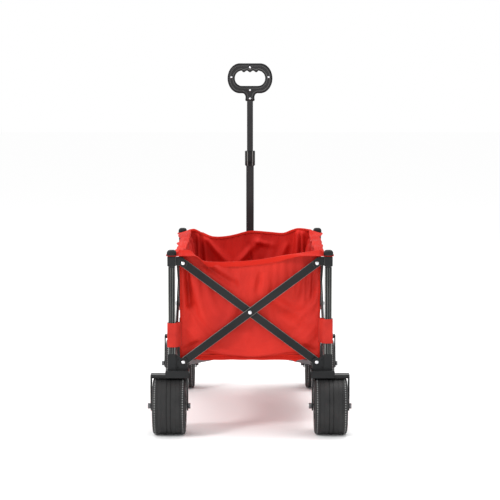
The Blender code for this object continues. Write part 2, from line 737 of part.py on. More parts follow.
def make_wagon():
    make_arms()
    for corner in CORNERS:
        make_lower_casting(corner)
        make_upper_casting(corner)
        make_posts(corner)
        make_cap(corner)
        make_fork(corner)
        make_wheel(corner)
    make_base()
    make_draw_gear()
    make_handle()
    make_bag()


clear_scene()
WAGON = new_collection("wagon")
MATERIALS = make_materials()
make_wagon()
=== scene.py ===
"""The looks of the folding wagon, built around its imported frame: finishes on the metal and plastic
parts, detailed wheels, grip and posts, and the sewn fabric tub. Sizes are in metres, apart from the
rows given to mm(), which are in millimetres."""

import json
import math

import bmesh
import bpy
from mathutils import Matrix, Vector, noise


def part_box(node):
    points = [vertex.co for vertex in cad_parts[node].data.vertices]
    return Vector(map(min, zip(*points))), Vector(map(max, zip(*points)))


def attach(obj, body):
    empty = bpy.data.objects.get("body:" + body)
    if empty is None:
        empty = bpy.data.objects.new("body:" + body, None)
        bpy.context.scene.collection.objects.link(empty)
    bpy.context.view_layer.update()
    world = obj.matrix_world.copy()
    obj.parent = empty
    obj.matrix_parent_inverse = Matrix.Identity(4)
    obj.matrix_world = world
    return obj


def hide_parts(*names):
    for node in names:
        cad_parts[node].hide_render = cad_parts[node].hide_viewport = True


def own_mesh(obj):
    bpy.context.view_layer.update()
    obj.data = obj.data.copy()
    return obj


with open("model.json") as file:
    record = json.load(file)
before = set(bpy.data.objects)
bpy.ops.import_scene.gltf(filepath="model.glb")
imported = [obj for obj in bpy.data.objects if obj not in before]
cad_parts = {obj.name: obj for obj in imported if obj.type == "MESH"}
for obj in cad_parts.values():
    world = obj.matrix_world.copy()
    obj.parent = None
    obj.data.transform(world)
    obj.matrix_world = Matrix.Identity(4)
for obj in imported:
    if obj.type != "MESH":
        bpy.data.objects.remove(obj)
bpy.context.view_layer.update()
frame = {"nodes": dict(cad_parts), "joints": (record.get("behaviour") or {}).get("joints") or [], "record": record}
NODES = frame["nodes"]
JOINTS = {joint["name"]: joint for joint in frame["joints"]}

X = Vector((1.0, 0.0, 0.0))
Y = Vector((0.0, 1.0, 0.0))
Z = Vector((0.0, 0.0, 1.0))

# ---- places and sizes read from the frame ----


def middle(node):
    low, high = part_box(node)
    return (low + high) / 2.0


def pivot(joint):
    return Vector(JOINTS[joint]["pos_m"])


POST_X = middle("outer_post_fr").x
POST_Y = middle("outer_post_fr").y
POST_LOW_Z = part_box("outer_post_fr")[0].z
POST_HIGH_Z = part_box("outer_post_fr")[1].z
CASTING_TOP_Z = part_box("upper_corner_fr")[1].z
LOW_RIVET_Z = pivot("frame_fold").z
TOP_RIVET_Z = pivot("left_top_middle").z
MID_RIVET_Z = (LOW_RIVET_Z + TOP_RIVET_Z) / 2.0
HALF_WIDTH = -pivot("frame_fold").x
HALF_LENGTH = -pivot("frame_fold").y
BAG_LOW, BAG_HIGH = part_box("bag")
BAG_X = BAG_HIGH.x
BAG_Y = BAG_HIGH.y
FOLD_LIMIT = math.radians(JOINTS["frame_fold"]["range_deg"][1])

# how much of the tub's width and length is left when the frame is folded
ARM_RUN = 2.0 * HALF_WIDTH
ARM_RISE = TOP_RIVET_Z - LOW_RIVET_Z
ARM_ANGLE = math.atan2(ARM_RISE, ARM_RUN)
FOLDED_RUN = math.hypot(ARM_RUN, ARM_RISE) * math.cos(ARM_ANGLE + FOLD_LIMIT)
KEEP_X = (2.0 * BAG_X - (ARM_RUN - FOLDED_RUN)) / (2.0 * BAG_X)
KEEP_Y = (2.0 * BAG_Y - 2.0 * (ARM_RUN - FOLDED_RUN)) / (2.0 * BAG_Y)

CORNERS = {"rl": (-1, -1), "rr": (1, -1), "fl": (-1, 1), "fr": (1, 1)}
CORNER_NAME = {"rl": "rear_left", "rr": "rear_right", "fl": "front_left", "fr": "front_right"}
LOWER_BODY = {corner: f"{name}_corner" for corner, name in CORNER_NAME.items()}
UPPER_BODY = {corner: f"upper_{name}" for corner, name in CORNER_NAME.items()}

# ---- materials ----


def linear(*srgb):
    """A colour given as 8-bit sRGB values, as linear light."""
    out = []
    for value in srgb:
        level = value / 255.0
        out.append(level / 12.92 if level <= 0.04045 else ((level + 0.055) / 1.055) ** 2.4)
    return (*out, 1.0)


class Finish:
    """A Principled material and short ways to wire procedural detail into it."""

    def __init__(self, name, roughness, metallic=0.0):
        self.material = bpy.data.materials.new(name)
        self.material.use_nodes = True
        self.tree = self.material.node_tree
        self.shader = self.tree.nodes["Principled BSDF"]
        self.set("Roughness", roughness)
        self.set("Metallic", metallic)
        self.place = self.node("ShaderNodeTexCoord").outputs["Object"]

    def node(self, kind, inputs={}, **values):
        """A new node, with values on the node itself and numbers or links on its inputs."""
        made = self.tree.nodes.new(kind)
        for key, value in values.items():
            setattr(made, key, value)
        for socket, value in inputs.items():
            if isinstance(value, bpy.types.NodeSocket):
                self.tree.links.new(value, made.inputs[socket])
            else:
                made.inputs[socket].default_value = value
        return made

    def set(self, socket, value):
        self.shader.inputs[socket].default_value = value

    def noise(self, scale, detail=3.0, stretch=None, rough=0.5):
        place = self.place
        if stretch:
            mapping = self.node("ShaderNodeMapping", {"Scale": stretch, "Vector": place})
            place = mapping.outputs["Vector"]
        inputs = {"Scale": scale, "Detail": detail, "Roughness": rough, "Vector": place}
        return self.node("ShaderNodeTexNoise", inputs).outputs["Fac"]

    def ramp(self, factor, low, dark, high, light):
        made = self.node("ShaderNodeValToRGB", {"Fac": factor})
        for element, position, colour in zip(made.color_ramp.elements, (low, high), (dark, light)):
            element.position = position
            element.color = linear(*colour)
        return made.outputs["Color"]

    def remap(self, factor, low, high):
        inputs = {"To Min": low, "To Max": high, "Value": factor}
        return self.node("ShaderNodeMapRange", inputs).outputs["Result"]

    def math(self, operation, first, second):
        made = self.node("ShaderNodeMath", {0: first, 1: second}, operation=operation)
        return made.outputs["Value"]

    def bump(self, height, strength, distance, below=None):
        inputs = {"Strength": strength, "Distance": distance, "Height": height}
        if below is not None:
            inputs["Normal"] = below
        return self.node("ShaderNodeBump", inputs).outputs["Normal"]

    def done(self, colour, roughness, normal):
        outputs = {"Base Color": colour, "Roughness": roughness, "Normal": normal}
        for socket, output in outputs.items():
            if output is not None:
                self.tree.links.new(output, self.shader.inputs[socket])
        return self.material


def hard_surface(name, dark, light, roughness, shine, mottle, wear, grain, metallic=0.0):
    """Colour that mottles from dark to light, uneven wear, and a fine grain. mottle is (low, high,
    scale, detail), wear (scale, detail, less, more) and grain (scale, detail, strength, depth)."""
    finish = Finish(name, roughness, metallic)
    if shine is not None:
        finish.set("Specular IOR Level", shine)
    low, high, *pattern = mottle
    colour = finish.ramp(finish.noise(*pattern), low, dark, high, light)
    *pattern, less, more = wear
    worn = finish.remap(finish.noise(*pattern), roughness - less, roughness + more)
    *pattern, strength, depth = grain
    return finish.done(colour, worn, finish.bump(finish.noise(*pattern), strength, depth))


def powder_coat(name, dark, light, roughness=0.32, shine=0.16):
    """Satin powder coat: an orange-peel bump and faint mottling."""
    return hard_surface(name, dark, light, roughness, shine, (0.3, 0.75, 9.0, 4.0),
                        (35.0, 4.0, 0.07, 0.10), (900.0, 2.0, 0.10, 0.0004))


def moulded_nylon(name, dark, light, roughness=0.48, grain=1500.0, shine=0.17):
    """Moulded plastic with a fine spark-eroded grain and soft scuffs."""
    return hard_surface(name, dark, light, roughness, shine, (0.3, 0.75, 14.0, 4.0),
                        (45.0, 5.0, 0.08, 0.10), (grain, 1.0, 0.18, 0.0003))


def tyre_rubber(name, dark, light):
    """Hard grey-black tyre: satin, with dust in the grain."""
    return hard_surface(name, dark, light, 0.56, 0.32, (0.25, 0.8, 22.0, 6.0),
                        (60.0, 5.0, 0.10, 0.12), (1100.0, 2.0, 0.22, 0.0004))


def plated_steel(name, dark, light):
    """Plated steel with fine turning marks."""
    return hard_surface(name, dark, light, 0.24, None, (0.3, 0.8, 160.0, 3.0),
                        (420.0, 3.0, 0.08, 0.12), (1800.0, 2.0, 0.08, 0.0002), 1.0)


def weave_height(finish, pitch):
    """A plain weave: two crossed sets of threads, each rising over the other."""
    place = finish.node("ShaderNodeSeparateXYZ", {"Vector": finish.place}).outputs
    # walls stand along X and along Y, so their warp runs along the sum of both
    along = finish.math("ADD", place["X"], place["Y"])
    across = finish.math("ADD", place["Z"], finish.math("MULTIPLY", place["Y"], 0.37))
    turns = 2.0 * math.pi / pitch
    warp, weft = (finish.math("SINE", finish.math("MULTIPLY", run, turns), 0.0)
                  for run in (along, across))
    return finish.math("MULTIPLY", warp, weft)


def polyester(name, dark, light, roughness=0.62, pitch=0.0011, sheen=0.06, shine=0.24):
    """Coated polyester cloth: a plain weave, slow colour drift, small puckers and a soft sheen."""
    finish = Finish(name, roughness)
    drift = finish.math("MULTIPLY", finish.noise(7.0, 3.0), 0.75)
    fine = finish.math("MULTIPLY", finish.noise(420.0, 3.0, (1.0, 1.0, 2.2)), 0.25)
    colour = finish.ramp(finish.math("ADD", drift, fine), 0.32, dark, 0.68, light)
    worn = finish.remap(finish.noise(90.0, 3.0), roughness - 0.06, roughness + 0.08)
    weave = finish.bump(weave_height(finish, pitch), 0.30, 0.00025)
    puckers = finish.bump(finish.noise(38.0, 4.0, None, 0.55), 0.22, 0.0022, weave)
    finish.set("Specular IOR Level", shine)
    finish.set("Sheen Weight", sheen)
    finish.set("Sheen Roughness", 0.45)
    finish.set("Sheen Tint", linear(*light))
    return finish.done(colour, worn, puckers)


def webbing(name, dark, light):
    """Ribbed woven tape: cross ribs with a fine twill."""
    finish = Finish(name, 0.66)
    ribs = finish.noise(240.0, 2.0, (1.0, 1.0, 5.0))
    colour = finish.ramp(finish.noise(26.0, 3.0), 0.3, dark, 0.75, light)
    finish.set("Specular IOR Level", 0.24)
    finish.set("Sheen Weight", 0.06)
    finish.set("Sheen Roughness", 0.4)
    return finish.done(colour, None, finish.bump(ribs, 0.5, 0.0006))


# name: (kind, material's name, dark, light, and the kind's own numbers)
MATERIAL_ROWS = {
    "frame_black": (powder_coat, "frame_powder_coat", (18, 19, 20), (30, 31, 32)),
    # painted highlight: a lighter colour for the frame's rounded edges, where light would catch them
    "frame_edge_highlight": (powder_coat, "frame_rubbed_edge", (94, 97, 96), (128, 129, 124), 0.28, 0.5),
    "casting_black": (moulded_nylon, "corner_nylon", (19, 20, 21), (33, 34, 35)),
    # painted highlight: a lighter colour for the rounded edges of castings, caps and the grip's step
    "casting_edge_highlight": (moulded_nylon, "corner_nylon_edge", (60, 61, 61), (84, 84, 83), 0.36, 1500.0,
                     0.4),
    "tube_black": (powder_coat, "handle_tube_paint", (30, 30, 31), (42, 42, 43), 0.34, 0.2),
    # painted shade: near-black for the grip's walls by the parting line and in its finger opening
    "grip_shade": (moulded_nylon, "grip_plastic_shade", (8, 8, 9), (14, 14, 15), 0.55, 900.0, 0.10),
    "grip_black": (moulded_nylon, "grip_plastic", (20, 20, 21), (34, 34, 36), 0.40, 900.0, 0.30),
    "tyre_grey": (tyre_rubber, "wheel_tyre", (20, 20, 21), (36, 36, 36)),
    # painted highlight: lighter dots where the tyre's moulded ribs would catch light
    "tread_painted_highlight": (moulded_nylon, "tyre_tread_nubs", (104, 105, 105), (138, 138, 137), 0.45, 700.0,
                   0.3),
    "rim_black": (moulded_nylon, "wheel_rim_plastic", (16, 16, 17), (28, 28, 29), 0.44),
    "zinc": (plated_steel, "bright_zinc", (196, 197, 200), (238, 238, 240)),
    "bolt_steel": (plated_steel, "axle_bolt_steel", (92, 93, 95), (132, 132, 134)),
    "bar_grey": (powder_coat, "grey_bar_paint", (96, 98, 101), (124, 126, 128), 0.40),
    "fabric_red": (polyester, "red_polyester", (170, 25, 15), (198, 38, 24)),
    "fabric_inside": (polyester, "red_polyester_inside", (174, 20, 13), (202, 31, 20), 0.70),
    "hem_red": (polyester, "red_hem_tape", (170, 26, 17), (197, 39, 26), 0.74, 0.0016, 0.0, 0.10),
    "strap_red": (webbing, "red_webbing", (164, 28, 18), (188, 40, 28)),
    "thread_red": (webbing, "red_thread", (160, 24, 18), (188, 36, 27)),
    # near-black; in the corners' small holes it is painted shade
    "shadow_black": (moulded_nylon, "dark_recess", (6, 6, 7), (10, 10, 11), 0.7),
}
MATERIALS = {name: kind(*values) for name, (kind, *values) in MATERIAL_ROWS.items()}

# ---- mesh helpers ----


def mm(*rows):
    """Rows of millimetres, as metres."""
    return [tuple(value / 1000.0 for value in row) for row in rows]


def smooth(low, high, value):
    t = max(0.0, min(1.0, (value - low) / (high - low)))
    return t * t * (3.0 - 2.0 * t)


def arc(centre, radius, start, end, steps):
    """Points round a centre, between two angles in degrees; the radius may be one for each axis."""
    radii = radius if isinstance(radius, tuple) else (radius, radius)
    out = []
    for step in range(steps + 1):
        angle = math.radians(start + (end - start) * step / steps)
        out.append((centre[0] + radii[0] * math.cos(angle), centre[1] + radii[1] * math.sin(angle)))
    return out


def circle(steps):
    """Evenly spaced directions round the origin, from the first axis to the second."""
    angles = [2.0 * math.pi * step / steps for step in range(steps)]
    return [(math.cos(angle), math.sin(angle)) for angle in angles]


def aim(place, axis):
    """The matrix that stands Z along an axis at a place."""
    turn = Z.rotation_difference(Vector(axis)).to_matrix().to_4x4()
    return Matrix.Translation(Vector(place)) @ turn


def from_bmesh(name, bm, material, smooth_deg=40.0):
    bmesh.ops.recalc_face_normals(bm, faces=bm.faces)
    mesh = bpy.data.meshes.new(name)
    bm.to_mesh(mesh)
    bm.free()
    mesh.shade_smooth()
    mesh.set_sharp_from_angle(angle=math.radians(smooth_deg))
    obj = bpy.data.objects.new(name, mesh)
    bpy.context.scene.collection.objects.link(obj)
    obj.data.materials.append(MATERIALS[material])
    return obj


def stand_in(name, bm, materials, smooth_deg, node, body):
    """A piece that stands in for a CAD node and rides a body, with one or more materials."""
    obj = from_bmesh(name, bm, materials[0], smooth_deg)
    for material in materials[1:]:
        obj.data.materials.append(MATERIALS[material])
    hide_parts(node)
    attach(obj, body)


def skin(bm, rows, closed=True, caps=False, paint=None):
    """Faces between one row of points and the next. closed joins a row's end to its start, caps
    closes the first and the last row, and paint(row, place) gives a face its material."""
    rings = [[bm.verts.new(point) for point in row] for row in rows]
    for row, (lower, upper) in enumerate(zip(rings, rings[1:])):
        for i in range(len(lower) if closed else len(lower) - 1):
            j = (i + 1) % len(lower)
            face = bm.faces.new((lower[i], lower[j], upper[j], upper[i]))
            if paint:
                face.material_index = paint(row, i)
    if caps:
        bm.faces.new(list(reversed(rings[0])))
        bm.faces.new(rings[-1])
    return rings


def turned(name, profile, steps, matrix, body, material, smooth_deg=40.0,
           weld=False):
    """A piece turned from a profile of (radius, height) about Z, then moved, that rides a body."""
    bm = bmesh.new()
    rings = []
    for radius, height in profile:
        # one point is enough on the axis
        turn = circle(steps) if radius > 0.0 else [(1.0, 0.0)]
        rings.append([bm.verts.new(matrix @ Vector((radius * u, radius * v, height)))
                      for u, v in turn])
    for lower, upper in zip(rings, rings[1:]):
        for step in range(steps):
            after = (step + 1) % steps
            corners = [ring[place % len(ring)] for ring, place in
                       ((lower, step), (lower, after), (upper, after), (upper, step))]
            bm.faces.new(list(dict.fromkeys(corners)))
    if weld:
        bmesh.ops.remove_doubles(bm, verts=bm.verts, dist=1e-6)
    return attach(from_bmesh(name, bm, material, smooth_deg), body)


def modified(obj):
    """The object with its modifiers applied."""
    bpy.context.view_layer.update()
    graph = bpy.context.evaluated_depsgraph_get()
    mesh = bpy.data.meshes.new_from_object(obj.evaluated_get(graph))
    obj.modifiers.clear()
    obj.data = mesh
    return obj


# ---- finishes on the CAD parts ----

# nodes that don't take the finish named after their slot
NODE_FINISH = {"handle_lower_tube": "tube_black", "handle_upper_tube": "tube_black",
               **{f"axle_bolt_{corner}": "bolt_steel" for corner in CORNERS}}
# names' starts: the width of their rounded edges, the segments, and the lighter finish painted on those edges as a
# highlight
BEVELS = {
    ("end_arm", "side_arm"): (0.0018, 3, "frame_edge_highlight"),
    ("draw_link",): (0.0012, 2, "frame_edge_highlight"),
    ("base_bar",): (0.0016, 2, None),
    ("lower_corner", "upper_corner", "wheel_fork", "handle_yoke"): (0.0009, 2, "casting_edge_highlight"),
    ("post_cap",): (0.0006, 2, "casting_edge_highlight"),
    ("axle_bolt",): (0.0006, 2, None),
    ("handle_lower",): (0.0002, 1, None),
    ("hub",): (0.0010, 2, None),
}


def soften(node, width, segments, edge):
    """Rounded edges on a CAD node, as modifiers."""
    weld = node.modifiers.new("Weld", "WELD")
    weld.merge_threshold = 0.00001
    bevel = node.modifiers.new("Bevel", "BEVEL")
    bevel.width = width
    bevel.segments = segments
    bevel.limit_method = "ANGLE"
    bevel.angle_limit = math.radians(35.0)
    bevel.harden_normals = False
    # the edge finish is a lighter colour painted on the bevel's faces as a highlight
    if edge:
        node.data.materials.append(MATERIALS[edge])
        bevel.material = len(node.data.materials) - 1


def finish_cad_nodes():
    slots = {entry["node"]: entry["material_slot"] for entry in frame["record"]["subparts"]}
    for name, node in NODES.items():
        node.data.materials.clear()
        node.data.materials.append(MATERIALS[NODE_FINISH.get(name, slots[name])])
        for starts, bevel in BEVELS.items():
            if name.startswith(starts):
                soften(node, *bevel)
        for polygon in node.data.polygons:
            polygon.use_smooth = True
        normals = node.modifiers.new("Normals", "WEIGHTED_NORMAL")
        normals.keep_sharp = True


# ---- rivets and bushes ----

WASHER = 0.0008
EAR = 0.0070  # from an arm's outer face out to its ear's outer face
DOME = [(0.0, 0.0030), *[(0.0056 * math.sin(a), 0.0004 + 0.0026 * math.cos(a))
                         for a in map(math.radians, (18, 36, 54, 72, 86))], (0.0056, 0.0)]


def washer(name, place, axis, body, outer, length, material="casting_black"):
    """A ring with round edges that starts at place and runs inward."""
    soft = min(0.0004, length / 4.0)
    profile = [(0.0030, -length), (outer - soft, -length), (outer, -length + soft), (outer, -soft),
               (outer - soft, 0.0), (0.0030, 0.0), (0.0030, -length)]
    turned(name, profile, 28, aim(place, axis), body, material, weld=True)


def rivet(name, place, axis, body, reach):
    """A domed rivet on a washer: its head stands at place, and its shank runs reach inward to a
    flat collar."""
    shank = [(0.0056, -0.0001), (0.0030, -0.0001), (0.0030, -reach), (0.0048, -reach),
             (0.0048, -reach - 0.0012), (0.0030, -reach - 0.0020), (0.0, -reach - 0.0022)]
    turned(name, DOME + shank, 24, aim(place, axis), body, "zinc", 50.0)
    washer(f"{name}_washer", place, axis, body, 0.0076, WASHER, "frame_black")


def corner_rivet(name, corner, level, outer_layer, axis, at, faces):
    """The rivet through an arm's end and a casting's ear, with a bush behind an arm that lies in
    the inner layer. at gives the place a distance out from the middle."""
    outer, inner, gap = faces
    body = LOWER_BODY[corner] if level == "low" else UPPER_BODY[corner]
    face = outer + EAR
    shank_end = outer - EAR if outer_layer else inner
    rivet(name, at(face + WASHER), axis, body, face + WASHER - shank_end)
    if not outer_layer:
        washer(f"{name}_bush", at(outer + 0.0008), axis, body, 0.0085, outer + 0.0006 - gap)


def make_rivets():
    # the outer face of the outer arms, and the inner and outer faces of the inner arms
    end = (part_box("end_arm_front_a")[1].y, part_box("end_arm_front_b")[0].y,
           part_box("end_arm_front_b")[1].y)
    side = (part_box("side_arm_right_a")[1].x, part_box("side_arm_right_b")[0].x,
            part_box("side_arm_right_b")[1].x)
    levels = (("low", LOW_RIVET_Z), ("top", TOP_RIVET_Z))

    for name, sy in (("rear", -1), ("front", 1)):
        for level, z in levels:
            for hand, sx in (("left", -1), ("right", 1)):
                corner_rivet(f"rivet_{name}_{level}_{hand}", name[0] + hand[0], level,
                             (level == "low") == (sx < 0), Y * sy,
                             lambda out: (sx * HALF_WIDTH, sy * out, z), end)
        rivet(f"rivet_{name}_cross", (0.0, sy * (end[0] + WASHER), MID_RIVET_Z), Y * sy,
              f"end_arm_{name}_a", end[0] - end[1] + WASHER)

    for name, sx in (("left", -1), ("right", 1)):
        for tip, sy in (("rear", -1), ("front", 1)):
            for level, z in levels:
                corner_rivet(f"rivet_{name}_{level}_{tip}", tip[0] + name[0], level,
                             (level == "low") == (sy < 0), X * sx,
                             lambda out: (sx * out, sy * HALF_LENGTH, z), side)
        for spot, y, z, letter in (("rear_cross", -HALF_LENGTH / 2.0, MID_RIVET_Z, "a"),
                                   ("middle_top", 0.0, TOP_RIVET_Z, "a"),
                                   ("front_cross", HALF_LENGTH / 2.0, MID_RIVET_Z, "d"),
                                   ("middle_low", 0.0, LOW_RIVET_Z, "d")):
            rivet(f"rivet_{name}_{spot}", (sx * (side[0] + WASHER), y, z), X * sx,
                  f"side_arm_{name}_{letter}", side[0] - side[1] + WASHER)


# ---- posts and corner details ----


def four_sides(side):
    """An outline from one side's points, repeated round the axis."""
    outline = []
    for quarter in range(4):
        angle = math.radians(90.0 * quarter)
        for u, v in side:
            outline.append((u * math.cos(angle) - v * math.sin(angle),
                            u * math.sin(angle) + v * math.cos(angle)))
    return outline


def make_posts():
    """Fluted outer posts in place of the plain square ones: a rounded square with a groove down the
    middle of each face and a raised lip beside it. The lips and rounded corners are painted lighter
    as a highlight."""
    half, corner, lip, sunk, deep = 0.0100, 0.0026, 0.0017, 0.0005, 0.0015
    raised = half - sunk / 10.0
    side = [(half, -half + corner), (half - sunk, -half + corner + 0.0012),
            (half - sunk, -lip - 0.0016), (half, -lip - 0.0011), (half, -lip - 0.0003),
            (half - deep, -lip + 0.0004)]
    side += [(u, -v) for u, v in reversed(side)]
    outline = four_sides(side + arc((half - corner, half - corner), corner, 18.0, 72.0, 3))

    def edge(row, i):
        """Painted highlight: the lips and corners get the lighter edge finish."""
        here, after = ([abs(value) for value in outline[k % len(outline)]] for k in (i, i + 1))
        on_lip = min(max(here), max(after)) > raised
        on_corner = min(here) > 0.0072 and min(after) > 0.0072
        return 1 if on_lip or on_corner else 0

    for name, (sx, sy) in CORNERS.items():
        place = Vector((sx * POST_X, sy * POST_Y, 0.0))
        bm = bmesh.new()
        skin(bm, [[Vector((u, v, z)) + place for u, v in outline]
                  for z in (POST_LOW_Z, POST_HIGH_Z)], caps=True, paint=edge)
        stand_in(f"post_{name}", bm, ("frame_black", "frame_edge_highlight"), 30.0,
                 f"outer_post_{name}", LOWER_BODY[name])


def make_casting_details():
    """Small blind holes on the corners' outer faces, painted near-black as the shade inside them."""
    ear_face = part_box("end_arm_front_a")[1].y + EAR
    for corner, (sx, sy) in CORNERS.items():
        for number, z in enumerate((LOW_RIVET_Z + 0.0075, LOW_RIVET_Z - 0.0145)):
            place = (sx * (POST_X - 0.0175), sy * (ear_face + 0.0002), z)
            turned(f"casting_pin_{corner}_{number}", mm(
                (0, -0.5), (1.3, -0.5), (1.6, 0), (2.1, 0.2), (2.4, -0.1), (2.4, -1), (0, -1)),
                16, aim(place, Y * sy), LOWER_BODY[corner], "shadow_black")


# ---- wheels ----

# the tyre from its bead to its tread: how far in from the tread, how far in from the side, and
# what share of a notch is cut there
TYRE_SHOULDER = mm(
    (29, 6.5, 0), (22.5, 1, 0), (19, 0, 0), (7.5, 0.3, 0), (4.6, 1, 0), (2.2, 2.4, 400),
    (0.8, 4.4, 200), (0.5, 5.8, 0), (0.4, 6.4, 1000), (0.4, 8.8, 1000), (0.3, 9.4, 0),
    (0.3, 11.8, 0), (0.3, 12.4, 800), (0.3, 14, 800), (0.9, 14.6, 0), (0.9, 15.8, 0),
    (0.1, 16.6, 0), (0, 25.2, 0), (0.4, 25.8, 0), (0.4, 27, 0), (0, 27.6, 0))
# the middle of the tread: how far in from the tread, and the place across it
TYRE_MIDDLE = mm((0, 7), (1.3, 6.3), (1.3, 5.1), (0, 4.4), (0, 1))
NOTCH = 0.0015
# the rim's lip: how far in from the tread and from the side; its hub: radius, and how far in
RIM_LIP = mm((26.5, 5), (28, 1.5), (31, 2), (32.5, 14))
RIM_HUB = mm((27, 17), (24, 3), (22.5, 1), (15, 0.5), (14, 3), (6, 3))
RIBS = 8


def about_x(profile, steps):
    """Rings about X from (radius, place, notch), with a notch at every fourth step."""
    rings = []
    for r, x, notch in profile:
        cuts = [r - NOTCH * notch, r, r, r]
        rings.append([(x, cuts[step % 4] * u, cuts[step % 4] * v)
                      for step, (u, v) in enumerate(circle(steps))])
    return rings


def tyre_mesh(bm, radius, half):
    """The tread and side walls, with notched bands beside each square shoulder and bands of dots
    painted lighter as a highlight.
    """
    profile = [(radius - r, half - x, notch) for r, x, notch in TYRE_SHOULDER]
    profile += [(radius - r, x, 0.0) for r, x in TYRE_MIDDLE]
    profile += [(r, -x, notch) for r, x, notch in reversed(profile)]
    dotted = (7, 8, len(profile) - 9, len(profile) - 10)
    skin(bm, about_x(profile, 288),
         paint=lambda row, step: 1 if row in dotted and step % 4 in (1, 2) else 0)


def rim_mesh(bm, radius, half):
    """A dished rim for one side: a lip, a web with ribs, and a hub boss."""
    profile = [(radius - r, half - x, 0.0) for r, x in RIM_LIP]
    profile += [(r, half - x, 0.0) for r, x in RIM_HUB]
    skin(bm, about_x(profile, 96))
    for u, v in circle(RIBS):
        out, side = Vector((0.0, u, v)), Vector((0.0, -v, u))
        corners = []
        for along, wide in ((0.0235, 0.0036), (radius - 0.0300, 0.0050)):
            for x, taper in ((half - 0.0175, 1.0), (half - 0.0045, 0.62)):
                for sign in (-1, 1):
                    corners.append(bm.verts.new(out * along + side * sign * (wide * taper) + X * x))
        for quad in ("0132", "4675", "2376", "0264", "1573", "0451"):
            bm.faces.new([corners[int(i)] for i in quad])


def make_wheels():
    for corner, name in CORNER_NAME.items():
        low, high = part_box(f"wheel_{corner}")
        radius = (high.z - low.z) / 2.0
        half = (high.x - low.x) / 2.0
        place = Matrix.Translation((low + high) / 2.0)
        bm = bmesh.new()
        tyre_mesh(bm, radius, half)
        bm.transform(place)
        stand_in(f"tyre_{name}", bm, ("tyre_grey", "tread_painted_highlight"), 28.0,
                 f"wheel_{corner}", f"wheel_{corner}")
        for side, turn in (("left", math.pi), ("right", 0.0)):
            bm = bmesh.new()
            rim_mesh(bm, radius, half)
            bm.transform(place @ Matrix.Rotation(turn, 4, "Z"))
            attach(from_bmesh(f"rim_{name}_{side}", bm, "rim_black", 32.0),
                    f"wheel_{corner}")


# ---- handle ----

HANDLE_AXIS = -Vector(JOINTS["handle_slide"]["axis"]).normalized()
HANDLE_FOOT = pivot("handle_tilt")
HANDLE_TURN = (Matrix.Translation(HANDLE_FOOT)
               @ Z.rotation_difference(HANDLE_AXIS).to_matrix().to_4x4())
GRIP_HALF_HEIGHT = 0.0485
GRIP_HALF_THICK = 0.0117
GRIP_FOOT_BEAD = [(-0.0030, 0.0, 1.0), (-0.0010, 0.0006, 1.0), (0.0004, 0.0020, 0.6),
                  (0.0008, 0.0044, 0.1), (0.0003, 0.0070, 0.0), (0.0, 0.0088, 0.0)]


def along_handle(node):
    """A node's lowest and highest distance up the handle from its pivot."""
    heights = [(vert.co - HANDLE_FOOT).dot(HANDLE_AXIS) for vert in NODES[node].data.vertices]
    return min(heights), max(heights)


def finger_opening(inset):
    """A rounded slot with three finger ridges hanging from the middle of its upper edge, widened
    by an inset."""
    straight, end_u, half_v = 0.0260, 0.0236 + inset, 0.0250 + inset
    ridge = 0.0052 * (1.0 - inset / 0.0140)
    steps = 84
    ridges = []
    for step in range(1, steps):
        u = straight - 2.0 * straight * step / steps
        ridges.append((u, half_v - ridge * (0.5 + 0.5 * math.cos(2.0 * math.pi * u / 0.0200))))
    return (arc((straight, 0.0), (end_u, half_v), -90.0, 90.0, 36) + ridges
            + arc((-straight, 0.0), (end_u, half_v), 90.0, 270.0, 36))


def grip_outline(half_u, foot, inset):
    """The grip's outer edge, drawn in by an inset: a rounded ring on a filleted neck with a small
    foot bead."""
    end_u, neck, fillet_u, fillet_v = 0.0400, 0.0146, 0.0105, 0.0130
    right = [(neck + u - inset, foot + v + inset * rise) for u, v, rise in GRIP_FOOT_BEAD]
    right += arc((neck + fillet_u, -GRIP_HALF_HEIGHT - fillet_v),
                 (fillet_u + inset, fillet_v + inset), 180.0, 90.0, 14)
    right += arc((half_u - end_u, 0.0), (end_u - inset, GRIP_HALF_HEIGHT - inset), -90.0, 90.0, 44)
    return right + [(-u, v) for u, v in reversed(right)]


def rounding(radius):
    """(inset, height) from a shell's parting plane up round its edge and down a small step to its
    face."""
    thick = GRIP_HALF_THICK
    turn = [math.radians(a) for a in (15, 30, 45, 60, 75, 90)]
    return [(0.0, 0.00025), (0.0, thick - radius),
            *[(radius - radius * math.cos(a), thick - radius + radius * math.sin(a)) for a in turn],
            (radius + 0.0012, thick), (radius + 0.0019, thick - 0.0009)]


